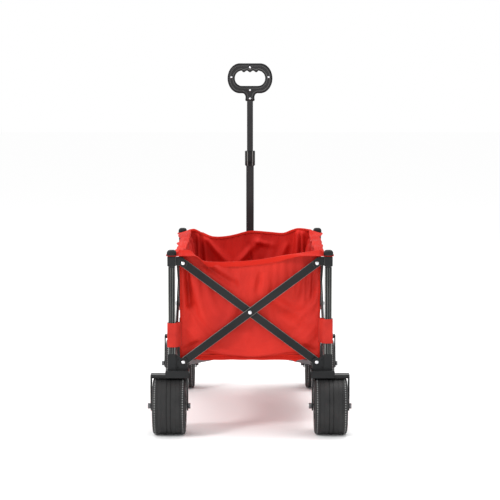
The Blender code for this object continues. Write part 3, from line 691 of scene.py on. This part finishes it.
def make_grip():
    """Two rounded shells with a parting line, five sunk screws and a filleted neck."""
    foot, top = along_handle("grip_back")
    centre = top - GRIP_HALF_HEIGHT
    half_u = (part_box("grip_back")[1].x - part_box("grip_back")[0].x) / 2.0 + 0.0012
    stand = (HANDLE_TURN @ Matrix.Translation((0, 0, centre))
             @ Matrix.Rotation(math.pi / 2.0, 4, "X"))
    for side, sign in (("back", 1), ("front", -1)):
        bm = bmesh.new()
        loops = []
        for radius, outline in ((0.0072, lambda inset: grip_outline(half_u, foot - centre, inset)),
                                (0.0056, finger_opening)):
            # painted shade on the walls near the parting line, outside and in the finger opening, and a
            # painted highlight on the step round the face
            loops.append(skin(bm, [[(u, v, sign * height) for u, v in outline(inset)]
                                   for inset, height in rounding(radius)],
                              paint=lambda row, i: 1 if row < 5 else 2 if row > 6 else 0))
        for level in (0, -1):
            rim_edges = [bm.edges.get((ring[i], ring[(i + 1) % len(ring)]))
                         for rings in loops for ring in (rings[level],) for i in range(len(ring))]
            bmesh.ops.triangle_fill(bm, edges=rim_edges, use_beauty=True)
        bm.transform(stand)
        stand_in(f"grip_shell_{side}", bm, ("grip_black", "grip_shade", "casting_edge_highlight"),
                 40.0, f"grip_{side}", "handle_top")
    screws = [(0.0, 0.0360), (-0.0606, 0.0044), (0.0606, 0.0044), (0.0, -0.0378),
              (0.0, foot - centre + 0.0090)]
    for number, (u, v) in enumerate(screws):
        for side, sign in (("back", 1), ("front", -1)):
            place = stand @ Vector((sign * u, v, sign * (GRIP_HALF_THICK - 0.0001)))
            matrix = aim(place, (stand.to_3x3() @ Vector((0, 0, sign))).normalized())
            turned(f"grip_boss_{side}_{number}", mm(
                (5.8, -0.4), (5.6, 0.4), (4.6, 0.6), (4.2, 0), (5.8, -1), (5.8, -0.4)),
                24, matrix, "handle_top", "grip_black")
            if side == "back":
                turned(f"grip_screw_{number}", mm(
                    (0, 0.4), (0.7, 0.4), (0.9, 0.9), (2.6, 0.8), (3.6, 0.3), (3.9, -0.6),
                    (0, -0.6)),
                    24, matrix, "handle_top", "zinc", 50.0)


def make_collar():
    """The clamp collar: a square body with a raised band down each face, a chamfered foot and a
    release button. The slopes beside each band are painted lighter as a highlight."""
    low, high = along_handle("handle_collar")
    half = 0.0333 / 2.0
    band, slope, sunk = 0.0076, 0.0022, 0.0013
    side = [(half - sunk, -half + 0.0042), (half - sunk, -band - slope), (half, -band)]
    side += [(u, -v) for u, v in reversed(side)]
    side += arc((half - 0.0032, half - 0.0032), 0.0024, 10.0, 80.0, 4)
    levels = [(low, 0.86), (low + 0.0026, 0.97), (low + 0.0036, 1.0), (high - 0.0012, 1.0),
              (high - 0.0004, 0.985), (high, 0.94)]
    bm = bmesh.new()
    skin(bm, [[(u * size, v * size, height) for u, v in four_sides(side)]
              for height, size in levels],
         caps=True, paint=lambda row, i: 1 if i % len(side) in (1, 3) else 0)
    bm.transform(HANDLE_TURN)
    stand_in("handle_clamp_collar", bm, ("casting_black", "frame_edge_highlight"), 32.0,
             "handle_collar", "handle")
    place = HANDLE_TURN @ Vector((0.0, -half - 0.0001, low + 0.0105))
    axis = (HANDLE_TURN.to_3x3() @ Vector((0, -1, 0))).normalized()
    turned("collar_button", mm(
        (0, 0.3), (3.4, 0.2), (4.8, 0.6), (5.4, 0.2), (5.5, -0.6), (0, -0.6)),
           28, aim(place, axis), "handle", "shadow_black")


def make_handle_pin():
    """The pin through the yoke's lugs and the handle's foot."""
    turned("handle_pin", mm(
        (0, -22.5), (5.2, -22.5), (6, -20.5), (6, -19.1), (3.8, -19.1), (3.8, 19.1), (6, 19.1),
        (6, 20.5), (5.2, 22.5), (0, 22.5)),
           24, aim(HANDLE_FOOT, X), "handle_yoke", "zinc")


# ---- the fabric tub ----

CLOTH = 0.0009
CLOTH_STEP = 0.0066
RIM_CORNER_Z = CASTING_TOP_Z + 0.0135
TAB_Z = CASTING_TOP_Z + 0.0012
FLAP_X = POST_X + 0.0155 - BAG_X
FLAP_Y = POST_Y + 0.0155 - BAG_Y
HEM = 0.0150
OUTWARD_AT_ARM = 0.0036
OUTWARD_FREE = 0.0125
INWARD_FREE = 0.030
FLOOR_Z = BAG_LOW.z + 0.0012
BOTTOM_TUCK = 0.0050
WALL_SLACK = (-0.030, -0.010)
SETTLE_FRAMES = 28
# the share of each placed fold that is pressed in before the cloth hangs, and after it
FOLD_BEFORE = 0.9
FOLD_AFTER = 0.85


def rim(half, *points):
    """The height of a rim: (place along the wall, height) from one corner to the other."""
    return [(-half, RIM_CORNER_Z), *mm(*points), (half, RIM_CORNER_Z)]


REAR_RIM = rim(BAG_X, (-168, 518), (-150, 501), (-130, 489), (-98, 486), (-30, 488), (34, 494),
               (98, 505), (168, 515.5))
FRONT_RIM = rim(BAG_X, (-182, 521), (-166, 514), (-145, 501.5), (-112, 496), (-80, 497.5),
                (-48, 503.5), (-14, 512.5), (12, 515), (65, 511), (108, 508.5), (131, 516),
                (152, 523), (176, 522.5))
LEFT_RIM = rim(BAG_Y, (-352, 516), (-300, 507), (-238, 512), (-172, 504), (-92, 511), (-10, 513),
               (80, 505), (150, 512), (222, 504), (296, 513), (346, 514))
RIGHT_RIM = rim(BAG_Y, (-352, 514), (-305, 508), (-240, 504), (-165, 512), (-85, 506), (6, 513),
                (90, 508), (165, 503), (235, 513), (302, 506), (350, 516))

# soft folds: a start and an end, each a place along the wall and a height, then the half width and
# the depth; a negative depth goes into the tub
REAR_FOLDS = mm(
    (-140, 484, -40, 420, 8.5, -8), (-128, 492, -30, 438, 9, 5), (-179, 474, -172.5, 366, 5.6, -16),
    (-170, 370, -178, 300, 12, -6), (-190, 460, -188.5, 330, 5, 4), (-153, 440, -120, 330, 18, 6),
    (164, 470, 160, 385, 5.5, -6), (178, 465, 176, 380, 5, -6.5), (140, 440, 128, 370, 9, -4.5),
    (30, 455, 20, 405, 7, -5.5), (60, 382, 165, 326, 16, -8.5), (90, 330, 175, 285, 16, 4),
    (-186, 238, -140, 262, 6.5, -6), (-180, 225, -120, 232, 6, -4), (186, 232, 130, 262, 6.5, -5.5),
    (184, 222, 110, 228, 6, -4), (-75, 300, 60, 262, 20, 5))
FRONT_FOLDS = mm(
    (-169, 505, -166, 380, 4.8, -9.5), (-150, 500, -140, 380, 5.2, -8),
    (-140, 488, -70, 410, 9, -11), (-42, 412, 24, 480, 10, -11), (20, 482, 70, 470, 8, -8),
    (0, 470, 6, 400, 11, 6),
    (155, 512, 150, 390, 8, -17), (170, 510, 172, 400, 6, -9), (120, 470, 80, 400, 12, -7),
    (-186, 470, -182, 300, 7, -8), (60, 360, -80, 300, 20, -8), (140, 330, 170, 250, 10, -7))
SIDE_FOLDS = mm(
    (-368, 490, -352, 330, 7.5, -11), (-338, 495, -310, 380, 9, -8),
    (-300, 480, -220, 360, 11, -8.5), (-210, 490, -190, 400, 8, 6),
    (-160, 470, -90, 350, 12, -8), (-60, 490, -40, 400, 8, -7),
    (20, 485, 30, 380, 8, 6), (80, 480, 50, 360, 11, -8.5), (150, 485, 170, 380, 9, -7),
    (235, 480, 200, 370, 10, -9), (300, 490, 280, 370, 9, 6), (330, 490, 316, 380, 8, -8.5),
    (366, 490, 356, 320, 7.5, -11), (-370, 230, -290, 275, 9, -6), (370, 230, 290, 275, 9, -6),
    (-240, 290, -60, 250, 22, 6), (240, 300, 80, 245, 22, 6), (-30, 330, 40, 240, 14, -6))


def crossed(start, end):
    """The lines of two crossed arms, each a place along the wall and a height, twice."""
    return [(start, LOW_RIVET_Z, end, TOP_RIVET_Z), (start, TOP_RIVET_Z, end, LOW_RIVET_Z)]


END_ARMS = crossed(-HALF_WIDTH, HALF_WIDTH)
SIDE_ARMS = crossed(-HALF_LENGTH, 0.0) + crossed(0.0, HALF_LENGTH)


def wander(*place):
    return noise.noise(Vector(place))


def beside(s, z, line):
    """How far a spot is from a line's nearest place, and how far along the line that place is."""
    spot, a, b = Vector((s, z)), Vector(line[:2]), Vector(line[2:4])
    t = max(0.0, min(1.0, (spot - a).dot(b - a) / (b - a).length_squared))
    return (spot - (a + (b - a) * t)).length, t


def spline(points, value):
    """A cubic curve through (place, height) points."""
    last = len(points) - 1
    if value <= points[0][0]:
        return points[0][1]
    if value >= points[last][0]:
        return points[last][1]
    i = next(k for k in range(last) if value <= points[k + 1][0])

    def slope(k):
        if k in (0, last):
            return 0.0
        return (points[k + 1][1] - points[k - 1][1]) / (points[k + 1][0] - points[k - 1][0])

    (x0, y0), (x1, y1) = points[i], points[i + 1]
    run = x1 - x0
    t = (value - x0) / run
    return ((2 * t ** 3 - 3 * t ** 2 + 1) * y0 + (t ** 3 - 2 * t ** 2 + t) * run * slope(i)
            + (-2 * t ** 3 + 3 * t ** 2) * y1 + (t ** 3 - t ** 2) * run * slope(i + 1))


class Wall:
    """One wall of the tub: its plane, its rim and the arms that cross it. sag is how far the rim
    sways, twist is where the hem turns over near each corner, and lay is how flat it lies between
    them, from one end to the other."""

    def __init__(self, name, out, rim, sag, twist, seed, folds, lay=(0.0, 0.0)):
        self.name, self.out, self.rim, self.sag = name, out, rim, sag
        self.twist, self.seed, self.folds, self.lay = twist, seed, folds, lay
        self.is_end = name in ("rear", "front")
        self.corners = [c for c in CORNERS if c[0 if self.is_end else 1] == name[0]]
        if self.is_end:
            self.along, self.half, self.offset = X, BAG_X, BAG_Y
            self.flap, self.arms, self.keep = FLAP_Y, END_ARMS, KEEP_X
        else:
            self.along, self.half, self.offset = Y, BAG_Y, BAG_X
            self.flap, self.arms, self.keep = FLAP_X, SIDE_ARMS, KEEP_Y

    def at(self, s, z, outward=0.0):
        return self.along * s + self.out * (self.offset + outward) + Z * z

    def places(self, columns):
        return [-self.half + 2.0 * self.half * i / columns for i in range(columns + 1)]

    def rim_z(self, s):
        return spline(self.rim, s)

    def rim_out(self, s):
        """The rim sways in and out of its plane, and is held at its ends."""
        held = smooth(0.0, 0.10, self.half - abs(s))
        return held * self.sag * (wander(s * 9.0, self.seed, 0.0) * 0.9 - 0.35)

    def outward_limit(self, s, z):
        """How far out the cloth may go: less on an arm than well away from every arm."""
        nearest = min(1.0, *(beside(s, z, arm)[0] for arm in self.arms))
        return OUTWARD_AT_ARM + (OUTWARD_FREE - OUTWARD_AT_ARM) * smooth(0.016, 0.055, nearest)

    def lies_flat(self, s):
        """1 where the hem lies flat on the casting, 0 where it hangs down the wall."""
        left, right = self.twist
        corner = max(1.0 - smooth(*left, s + self.half), 1.0 - smooth(*right, self.half - s))
        start, end = self.lay
        lay = start + (end - start) * (s + self.half) / (2.0 * self.half)
        return max(corner, lay * (1.0 + 0.36 * wander(s * 10.0, self.seed + 40.0, 0.0)))

    def hem_point(self, s, t):
        """A point on the hem: t runs from the rim to the hem's free edge."""
        flat = self.lies_flat(s)
        hang = 1.0 - flat
        rim = self.rim_z(s)
        drop = flat * (rim - TAB_Z) + hang * HEM
        reach = flat * self.flap + hang * 0.0014
        roll = hang * math.sin(math.pi * min(1.0, 3.0 * t)) * 0.0008
        fall = 1.0 - (1.0 - t) ** (1.0 + 0.6 * flat)
        spread = flat * t + hang * min(1.0, 5.0 * t)
        wave = hang * t * 0.0014 * wander(s * 34.0, self.seed + 7.0, 0.0)
        ripple = flat * hang * 4.0 * (math.sin(math.pi * t) * 0.003
                                      + t * 0.0016 * wander(s * 26.0, self.seed + 11.0, 0.0))
        return self.at(s, rim - drop * fall + roll + ripple + 0.0006,
                       self.rim_out(s) + reach * spread + wave + 0.0008)


WALLS = [
    Wall("rear", -Y, REAR_RIM, 0.010, ((0.034, 0.080), (0.034, 0.122)), 1.7, REAR_FOLDS),
    Wall("front", Y, FRONT_RIM, 0.012, ((0.034, 0.085), (0.034, 0.090)), 5.2, FRONT_FOLDS),
    Wall("left", -X, LEFT_RIM, 0.010, ((0.032, 0.095), (0.032, 0.100)), 9.4, SIDE_FOLDS,
         (0.50, 0.84)),
    Wall("right", X, RIGHT_RIM, 0.010, ((0.032, 0.105), (0.032, 0.090)), 13.1, SIDE_FOLDS,
         (0.50, 0.84)),
]


def placed_folds(wall, s, z):
    """How far the placed folds push the cloth out at a place."""
    drawn = 0.0
    for *line, width, depth in wall.folds:
        off, t = beside(s, z, line)
        off /= width * (0.75 + 0.5 * t)
        if off < 3.0:
            strength = 0.35 + 0.65 * math.sin(math.pi * (0.12 + 0.76 * t))
            drawn += depth * math.exp(-off * off) * strength
    edge = smooth(0.0, 0.016, wall.half - abs(s)) * smooth(FLOOR_Z, FLOOR_Z + 0.02, z)
    return drawn * edge * smooth(0.0, 0.014, wall.rim_z(s) - z)


def crumple(wall, s, share):
    """The starting folds: small upright ones that lean off the corners, and the placed ones."""
    lean = s * 30.0 + share * math.copysign(3.2, -s)
    folds = (wander(lean, share * 2.0, wall.seed)
             + 0.5 * wander(lean * 2.1, share * 5.0, wall.seed + 3.0))
    middle_share = math.sin(math.pi * max(0.0, min(1.0, share))) ** 0.6
    edge = smooth(0.0, 0.022, wall.half - abs(s)) * middle_share
    z = FLOOR_Z + (wall.rim_z(s) - FLOOR_Z) * share
    return 0.0026 * folds * edge + FOLD_BEFORE * placed_folds(wall, s, z)


def tuck(wall, s, z):
    """The foot of a wall curls in to the floor panel, except at its corners."""
    held = smooth(0.0, 0.07, wall.half - abs(s))
    low = 1.0 - smooth(FLOOR_Z, FLOOR_Z + 0.040, z)
    belly = math.exp(-((z - FLOOR_Z - 0.062) / 0.030) ** 2)
    return held * (0.0030 * belly - BOTTOM_TUCK * low * low)


def wall_mesh(wall):
    columns = int(round(2.0 * wall.half / CLOTH_STEP))
    rows = int(round((TOP_RIVET_Z - FLOOR_Z) / CLOTH_STEP))
    bm = bmesh.new()
    grid = []
    for s in wall.places(columns):
        top = wall.rim_z(s)
        column = []
        for j in range(rows + 1):
            share = j / rows
            z = FLOOR_Z + (top - FLOOR_Z) * share
            outward = wall.rim_out(s) * share ** 2 + crumple(wall, s, share) + tuck(wall, s, z)
            column.append(bm.verts.new(wall.at(s, z, min(outward, wall.outward_limit(s, z)))))
        grid.append(column)
    for i in range(columns):
        for j in range(rows):
            bm.faces.new((grid[i][j], grid[i + 1][j], grid[i + 1][j + 1], grid[i][j + 1]))
    obj = from_bmesh(f"fabric_{wall.name}_wall", bm, "fabric_red", 180.0)
    obj.data.materials.append(MATERIALS["fabric_inside"])
    pin = obj.vertex_groups.new(name="pin")
    tight = obj.vertex_groups.new(name="tight")
    for index in range(len(obj.data.vertices)):
        i, j = divmod(index, rows + 1)
        if i in (0, columns) or j in (0, rows):
            pin.add([index], 1.0, "REPLACE")
        tight.add([index], 1.0 - smooth(0.05, 0.75, j / rows), "REPLACE")
    return obj


def settle(objects):
    """Lets the walls hang: their rims, corner seams and bottom seams are held, and the cloth
    between them is a little longer than the space, most of all near the rim."""
    guards = []
    for wall in WALLS:
        bm = bmesh.new()
        bmesh.ops.create_cube(bm, size=1.0)
        size = wall.along * (2.4 * wall.half) + wall.out * 0.04 + Z * 0.5
        bm.transform(Matrix.Diagonal((abs(size.x), abs(size.y), size.z, 1.0)))
        bm.transform(Matrix.Translation(wall.at(0.0, 0.34, OUTWARD_FREE + 0.021)))
        guard = from_bmesh(f"guard_{wall.name}", bm, "shadow_black")
        guard.modifiers.new("Collision", "COLLISION")
        guard.collision.thickness_outer = 0.002
        guards.append(guard)
    for obj in objects:
        cloth = obj.modifiers.new("Cloth", "CLOTH")
        for key, value in (
                ("quality", 6), ("mass", 0.25), ("air_damping", 2.0), ("tension_stiffness", 25.0),
                ("compression_stiffness", 25.0), ("shear_stiffness", 8.0),
                ("bending_stiffness", 0.20), ("vertex_group_mass", "pin"),
                ("vertex_group_shrink", "tight"), ("shrink_min", WALL_SLACK[0]),
                ("shrink_max", WALL_SLACK[1])):
            setattr(cloth.settings, key, value)
        cloth.collision_settings.use_collision = True
        cloth.collision_settings.distance_min = 0.002
        cloth.collision_settings.use_self_collision = False
        cloth.point_cache.frame_start = 1
        cloth.point_cache.frame_end = SETTLE_FRAMES
    for step in range(1, SETTLE_FRAMES + 1):
        bpy.context.scene.frame_set(step)
    for obj in objects:
        modified(obj)
    for guard in guards:
        bpy.data.objects.remove(guard)
    bpy.context.scene.frame_set(1)


def hold_in(obj, wall):
    """Keeps the cloth clear of the arms outside it, and from falling too far into the tub."""
    for vert in obj.data.vertices:
        outward = vert.co.dot(wall.out) - wall.offset
        limit = wall.outward_limit(vert.co.dot(wall.along), vert.co.z) - 0.002
        if outward > limit:
            target = limit + 0.002 * (1.0 - math.exp((limit - outward) / 0.002))
        elif outward < -INWARD_FREE:
            target = -INWARD_FREE - 0.012 * (1.0 - math.exp((outward + INWARD_FREE) / 0.012))
        else:
            continue
        vert.co += wall.out * (target - outward)


def finish_wall(obj, wall):
    """Finer cloth with its placed folds pressed in again, red outside and darker inside."""
    fine = obj.modifiers.new("Fine", "SUBSURF")
    fine.levels = fine.render_levels = 1
    modified(obj)
    for vert in obj.data.vertices:
        vert.co += wall.out * FOLD_AFTER * placed_folds(wall, vert.co.dot(wall.along), vert.co.z)
    hold_in(obj, wall)
    normals_out = obj.data.polygons[0].normal.dot(wall.out) > 0.0
    solid = obj.modifiers.new("Solidify", "SOLIDIFY")
    solid.thickness = CLOTH
    solid.offset = -1.0 if normals_out else 1.0
    solid.material_offset = 1
    if not normals_out:
        obj.data.materials[0] = MATERIALS["fabric_inside"]
        obj.data.materials[1] = MATERIALS["fabric_red"]
    modified(obj)
    obj.data.shade_smooth()


def strip(name, rows, material, thickness):
    """A ribbon through rows of points, thickened to both sides."""
    bm = bmesh.new()
    skin(bm, rows, closed=False)
    obj = from_bmesh(name, bm, material, 180.0)
    solid = obj.modifiers.new("Solidify", "SOLIDIFY")
    solid.thickness = thickness
    solid.offset = 0.0
    modified(obj)
    obj.data.shade_smooth()
    obj.data.set_sharp_from_angle(angle=math.radians(60.0))
    return obj


def stitches(name, surface, shares, end):
    """Small thread loops along a surface, from -end to end; surface(s, t) gives a point, and shares
    are the lines' t."""
    length = 0.0062
    bm = bmesh.new()
    for t in shares:
        for k in range(int(2.0 * end / length)):
            a, mid, b = (-end + (k + part) * length for part in (0.16, 0.5, 0.84))
            over = surface(mid, min(1.0, t + 0.03)) - surface(mid, max(0.0, t - 0.03))
            a, b = surface(a, t), surface(b, t)
            if (b - a).length < 1e-6 or over.length < 1e-6:
                continue
            side = over.normalized() * 0.00045
            lift = (b - a).cross(over).normalized()
            rows = []
            for point, grow in ((a, 0.3), (a.lerp(b, 0.5), 1.0), (b, 0.3)):
                up = lift * (0.0009 * grow + 0.0001)
                rows.append([point + side * grow, point + up, point - side * grow, point - up])
            skin(bm, rows, caps=True)
    return from_bmesh(name, bm, "thread_red", 60.0)


HEM_STEP = 0.0045
HEM_SHARES = [0.0, 0.04, 0.09, 0.16, 0.25, 0.36, 0.48, 0.60, 0.72, 0.82, 0.90, 0.96, 1.0]
HEM_LIP = mm((-6.2, -3.1), (-3, -3), (-0.6, -2.6), (0.8, -1.4))


def make_hem(wall):
    """The hem, the bottom seam, and a line of stitches on each edge of the hem and on the seam."""
    places = wall.places(int(2.0 * wall.half / HEM_STEP))

    def over_rim(s):
        """The hem comes up inside the tub and turns over the cloth's edge."""
        return [wall.at(s, wall.rim_z(s) + up, wall.rim_out(s) + out) for up, out in HEM_LIP]

    def bottom(s, t):
        wave = 0.0012 * wander(s * 26.0, wall.seed + 20.0, 0.0)
        hang = 0.0052 * smooth(0.028, 0.060, wall.half - abs(s))
        loop = 0.0060 * math.exp(-((s - 0.128) / 0.0042) ** 2) if wall.name == "rear" else 0.0
        z = FLOOR_Z - 0.0016 + wave + 0.0095 * t - (hang + loop) * (1.0 - t)
        return wall.at(s, z, 0.0011 + wave * 0.3 + tuck(wall, s, max(FLOOR_Z, z)))

    def on_hem(s, t):
        flat = wall.lies_flat(s)
        return wall.hem_point(s, t) + wall.out * 0.0006 * (1.0 - flat) + Z * 0.0006 * flat

    name = wall.name
    hem = [over_rim(s) + [wall.hem_point(s, t) for t in HEM_SHARES] for s in places]
    seam = [[bottom(s, t) for t in (0.0, 0.25, 0.5, 0.75, 1.0)] for s in places]
    return [
        strip(f"hem_{name}", hem, "hem_red", 0.0012),
        strip(f"bottom_seam_{name}", seam, "hem_red", 0.0011),
        stitches(f"stitches_{name}", on_hem, (0.12, 0.86), wall.half - 0.004),
        stitches(f"bottom_stitches_{name}", lambda s, t: bottom(s, t) + wall.out * 0.0006, (0.72,),
                 wall.half - 0.006),
    ]


def make_tab(corner):
    """The corner tab: it leaves the rims, slopes down and is clamped between casting and cap."""
    sx, sy = CORNERS[corner]
    steps = 18
    flat_a = (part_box("post_cap_fr")[0].x - BAG_X) / FLAP_X
    flat_b = (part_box("post_cap_fr")[0].y - BAG_Y) / FLAP_Y
    round_a, round_b = 1.0 - 0.0065 / FLAP_X, 1.0 - 0.0065 / FLAP_Y
    rows = []
    for i in range(steps + 1):
        row = []
        for j in range(steps + 1):
            a, b = i / steps, j / steps
            clamped = smooth(0.0, 1.0, min(a / flat_a, b / flat_b))
            z = TAB_Z + (RIM_CORNER_Z - TAB_Z) * (1.0 - clamped) * (1.0 - max(a, b)) ** 1.6
            # the tab's outer corner is rounded
            over_a = max(0.0, (a - round_a) / (1.0 - round_a))
            over_b = max(0.0, (b - round_b) / (1.0 - round_b))
            if over_a > 0.0 and over_b > 0.0:
                radius = max(over_a, over_b) / math.hypot(over_a, over_b)
                a = round_a + over_a * radius * (1.0 - round_a)
                b = round_b + over_b * radius * (1.0 - round_b)
            row.append(Vector((sx * (BAG_X + FLAP_X * a), sy * (BAG_Y + FLAP_Y * b), z)))
        rows.append(row)
    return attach(strip(f"corner_tab_{corner}", rows, "hem_red", 0.0009), UPPER_BODY[corner])


def make_corner_seam(corner):
    """The piping down a corner seam."""
    sx, sy = CORNERS[corner]
    rows = []
    for k in range(41):
        share = k / 40
        sway = 0.0010 * wander(share * 7.0, sx * 3.0, sy * 5.0)
        centre = Vector((sx * (BAG_X + 0.0004 + sway), sy * (BAG_Y + 0.0004 - sway),
                         FLOOR_Z - 0.001 + (RIM_CORNER_Z - FLOOR_Z) * share))
        rows.append([centre + Vector((u, v, 0.0)) * 0.0021 for u, v in circle(10)])
    bm = bmesh.new()
    skin(bm, rows, caps=True)
    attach(from_bmesh(f"corner_seam_{corner}", bm, "hem_red"), UPPER_BODY[corner])


# the foot and the top of each strap
STRAP_Z = {"rl": (0.2490, 0.3175), "rr": (0.2600, 0.3290), "fl": (0.2540, 0.3230),
           "fr": (0.2560, 0.3250)}


def make_strap(corner):
    """A wide strap from the tub's corner round its post and back."""
    sx, sy = CORNERS[corner]
    low, high = STRAP_Z[corner]
    reach, soft = 0.0124, 0.0042
    to_bag_x, to_bag_y = POST_X - BAG_X, POST_Y - BAG_Y
    start = (-to_bag_x - 0.0015, -to_bag_y - 0.0005)
    bend = reach - soft
    outline = [start, (-to_bag_x + 0.0035, reach - 0.0010 - to_bag_y * 0.45),
               (-reach - 0.0005, reach - 0.0012), *arc((-bend, bend), soft, 110.0, 90.0, 2),
               *arc((bend, bend), soft, 90.0, 0.0, 8), *arc((bend, -bend), soft, 0.0, -90.0, 8),
               (-0.004, -reach), (-reach, -reach + 0.0004), (start[0] + 0.0022, start[1] - 0.0008)]
    rows = []
    for k in range(15):
        share = k / 14
        pinch = 1.0 + 0.010 * math.sin(math.pi * share)
        rows.append([(sx * (POST_X + u * pinch), sy * (POST_Y + v * pinch),
                      low + (high - low) * share + 0.0003 * math.sin(6.0 * share + index))
                     for index, (u, v) in enumerate(outline)])
    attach(strip(f"post_strap_{corner}", rows, "strap_red", 0.0011), UPPER_BODY[corner])


def make_floor():
    """The floor panel in four quarters, each carried by the bar under it."""
    steps_x, steps_y = 28, 54
    for corner, (sx, sy) in CORNERS.items():
        rows = []
        for i in range(steps_x + 1):
            row = []
            for j in range(steps_y + 1):
                x = sx * (BAG_X - 0.0006) * i / steps_x
                y = sy * (BAG_Y - 0.0006) * j / steps_y
                edge = min(1.0, (1.0 - i / steps_x) * 6.0, (1.0 - j / steps_y) * 10.0)
                swell = 0.0022 * wander(x * 16.0, y * 16.0, 3.0)
                quilt = -0.0016 * (math.exp(-((abs(y) - 0.194) / 0.004) ** 2)
                                   + math.exp(-(abs(y) / 0.004) ** 2))
                row.append((x, y, FLOOR_Z + (0.0030 + swell + quilt) * edge))
            rows.append(row)
        quarter = strip(f"fabric_floor_{corner}", rows, "fabric_inside", 0.0012)
        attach(quarter, f"base_bar_{corner}")
        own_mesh(quarter)


def make_tub():
    cloths = [wall_mesh(wall) for wall in WALLS]
    settle(cloths)
    tabs = {corner: make_tab(corner) for corner in CORNERS}
    for corner in CORNERS:
        make_corner_seam(corner)
        make_strap(corner)
    for wall, cloth in zip(WALLS, cloths):
        cloth.vertex_groups.clear()
        finish_wall(cloth, wall)
        corner = wall.corners[0]
        trims = make_hem(wall)
        for piece in [cloth, *trims]:
            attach(piece, UPPER_BODY[corner])
            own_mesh(piece)
        if wall.is_end:
            trims += [tabs[end] for end in wall.corners]
    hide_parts("bag")
    make_floor()


# ---- camera, light and floor ----

LIGHTS = [
    ("key_left", (-3.0, -2.6, 3.0), (1.0, 1.0), 90.0),
    ("fill_right", (3.0, -2.4, 2.2), (2.2, 2.2), 12.0),
    ("top", (0.6, 0.4, 3.8), (1.4, 1.4), 60.0),
    ("rim_back", (-1.6, 3.4, 2.2), (1.8, 1.8), 30.0),
    ("front_low", (0.0, -3.6, 0.35), (2.4, 0.5), 9.0),
]


def placed(name, data):
    obj = bpy.data.objects.new(name, data)
    bpy.context.scene.collection.objects.link(obj)
    return obj


def make_stage():
    floor_mesh = bpy.data.meshes.new("floor")
    bm = bmesh.new()
    bmesh.ops.create_grid(bm, x_segments=1, y_segments=1, size=40.0)
    bm.to_mesh(floor_mesh)
    bm.free()
    floor = placed("floor", floor_mesh)
    paper = Finish("studio_floor", 0.9)
    paper.set("Base Color", (0.985, 0.985, 0.985, 1.0))
    paper.set("Specular IOR Level", 0.0)
    floor.data.materials.append(paper.material)

    world = bpy.data.worlds.new("studio")
    world.use_nodes = True
    background = world.node_tree.nodes["Background"]
    background.inputs["Color"].default_value = (1.0, 1.0, 1.0, 1.0)
    background.inputs["Strength"].default_value = 1.0
    bpy.context.scene.world = world
    bpy.context.scene.view_settings.view_transform = "Standard"

    for name, place, size, power in LIGHTS:
        data = bpy.data.lights.new(name, "AREA")
        data.shape = "RECTANGLE"
        data.size, data.size_y = size
        data.energy = power
        light = placed(name, data)
        light.location = place
        toward = Vector((0.0, 0.0, 0.35)) - Vector(place)
        light.rotation_euler = toward.to_track_quat("-Z", "Y").to_euler()

    data = bpy.data.cameras.new("camera")
    data.lens = 126.0
    data.sensor_width = 36.0
    data.clip_start = 0.1
    data.clip_end = 100.0
    camera = placed("camera", data)
    camera.location = (0.0, -5.309, 0.957)
    camera.rotation_euler = (math.radians(90.0 - 5.06), 0.0, 0.0)
    bpy.context.scene.camera = camera


finish_cad_nodes()
make_posts()
make_rivets()
make_casting_details()
make_wheels()
make_grip()
make_collar()
make_handle_pin()
make_tub()
make_stage()
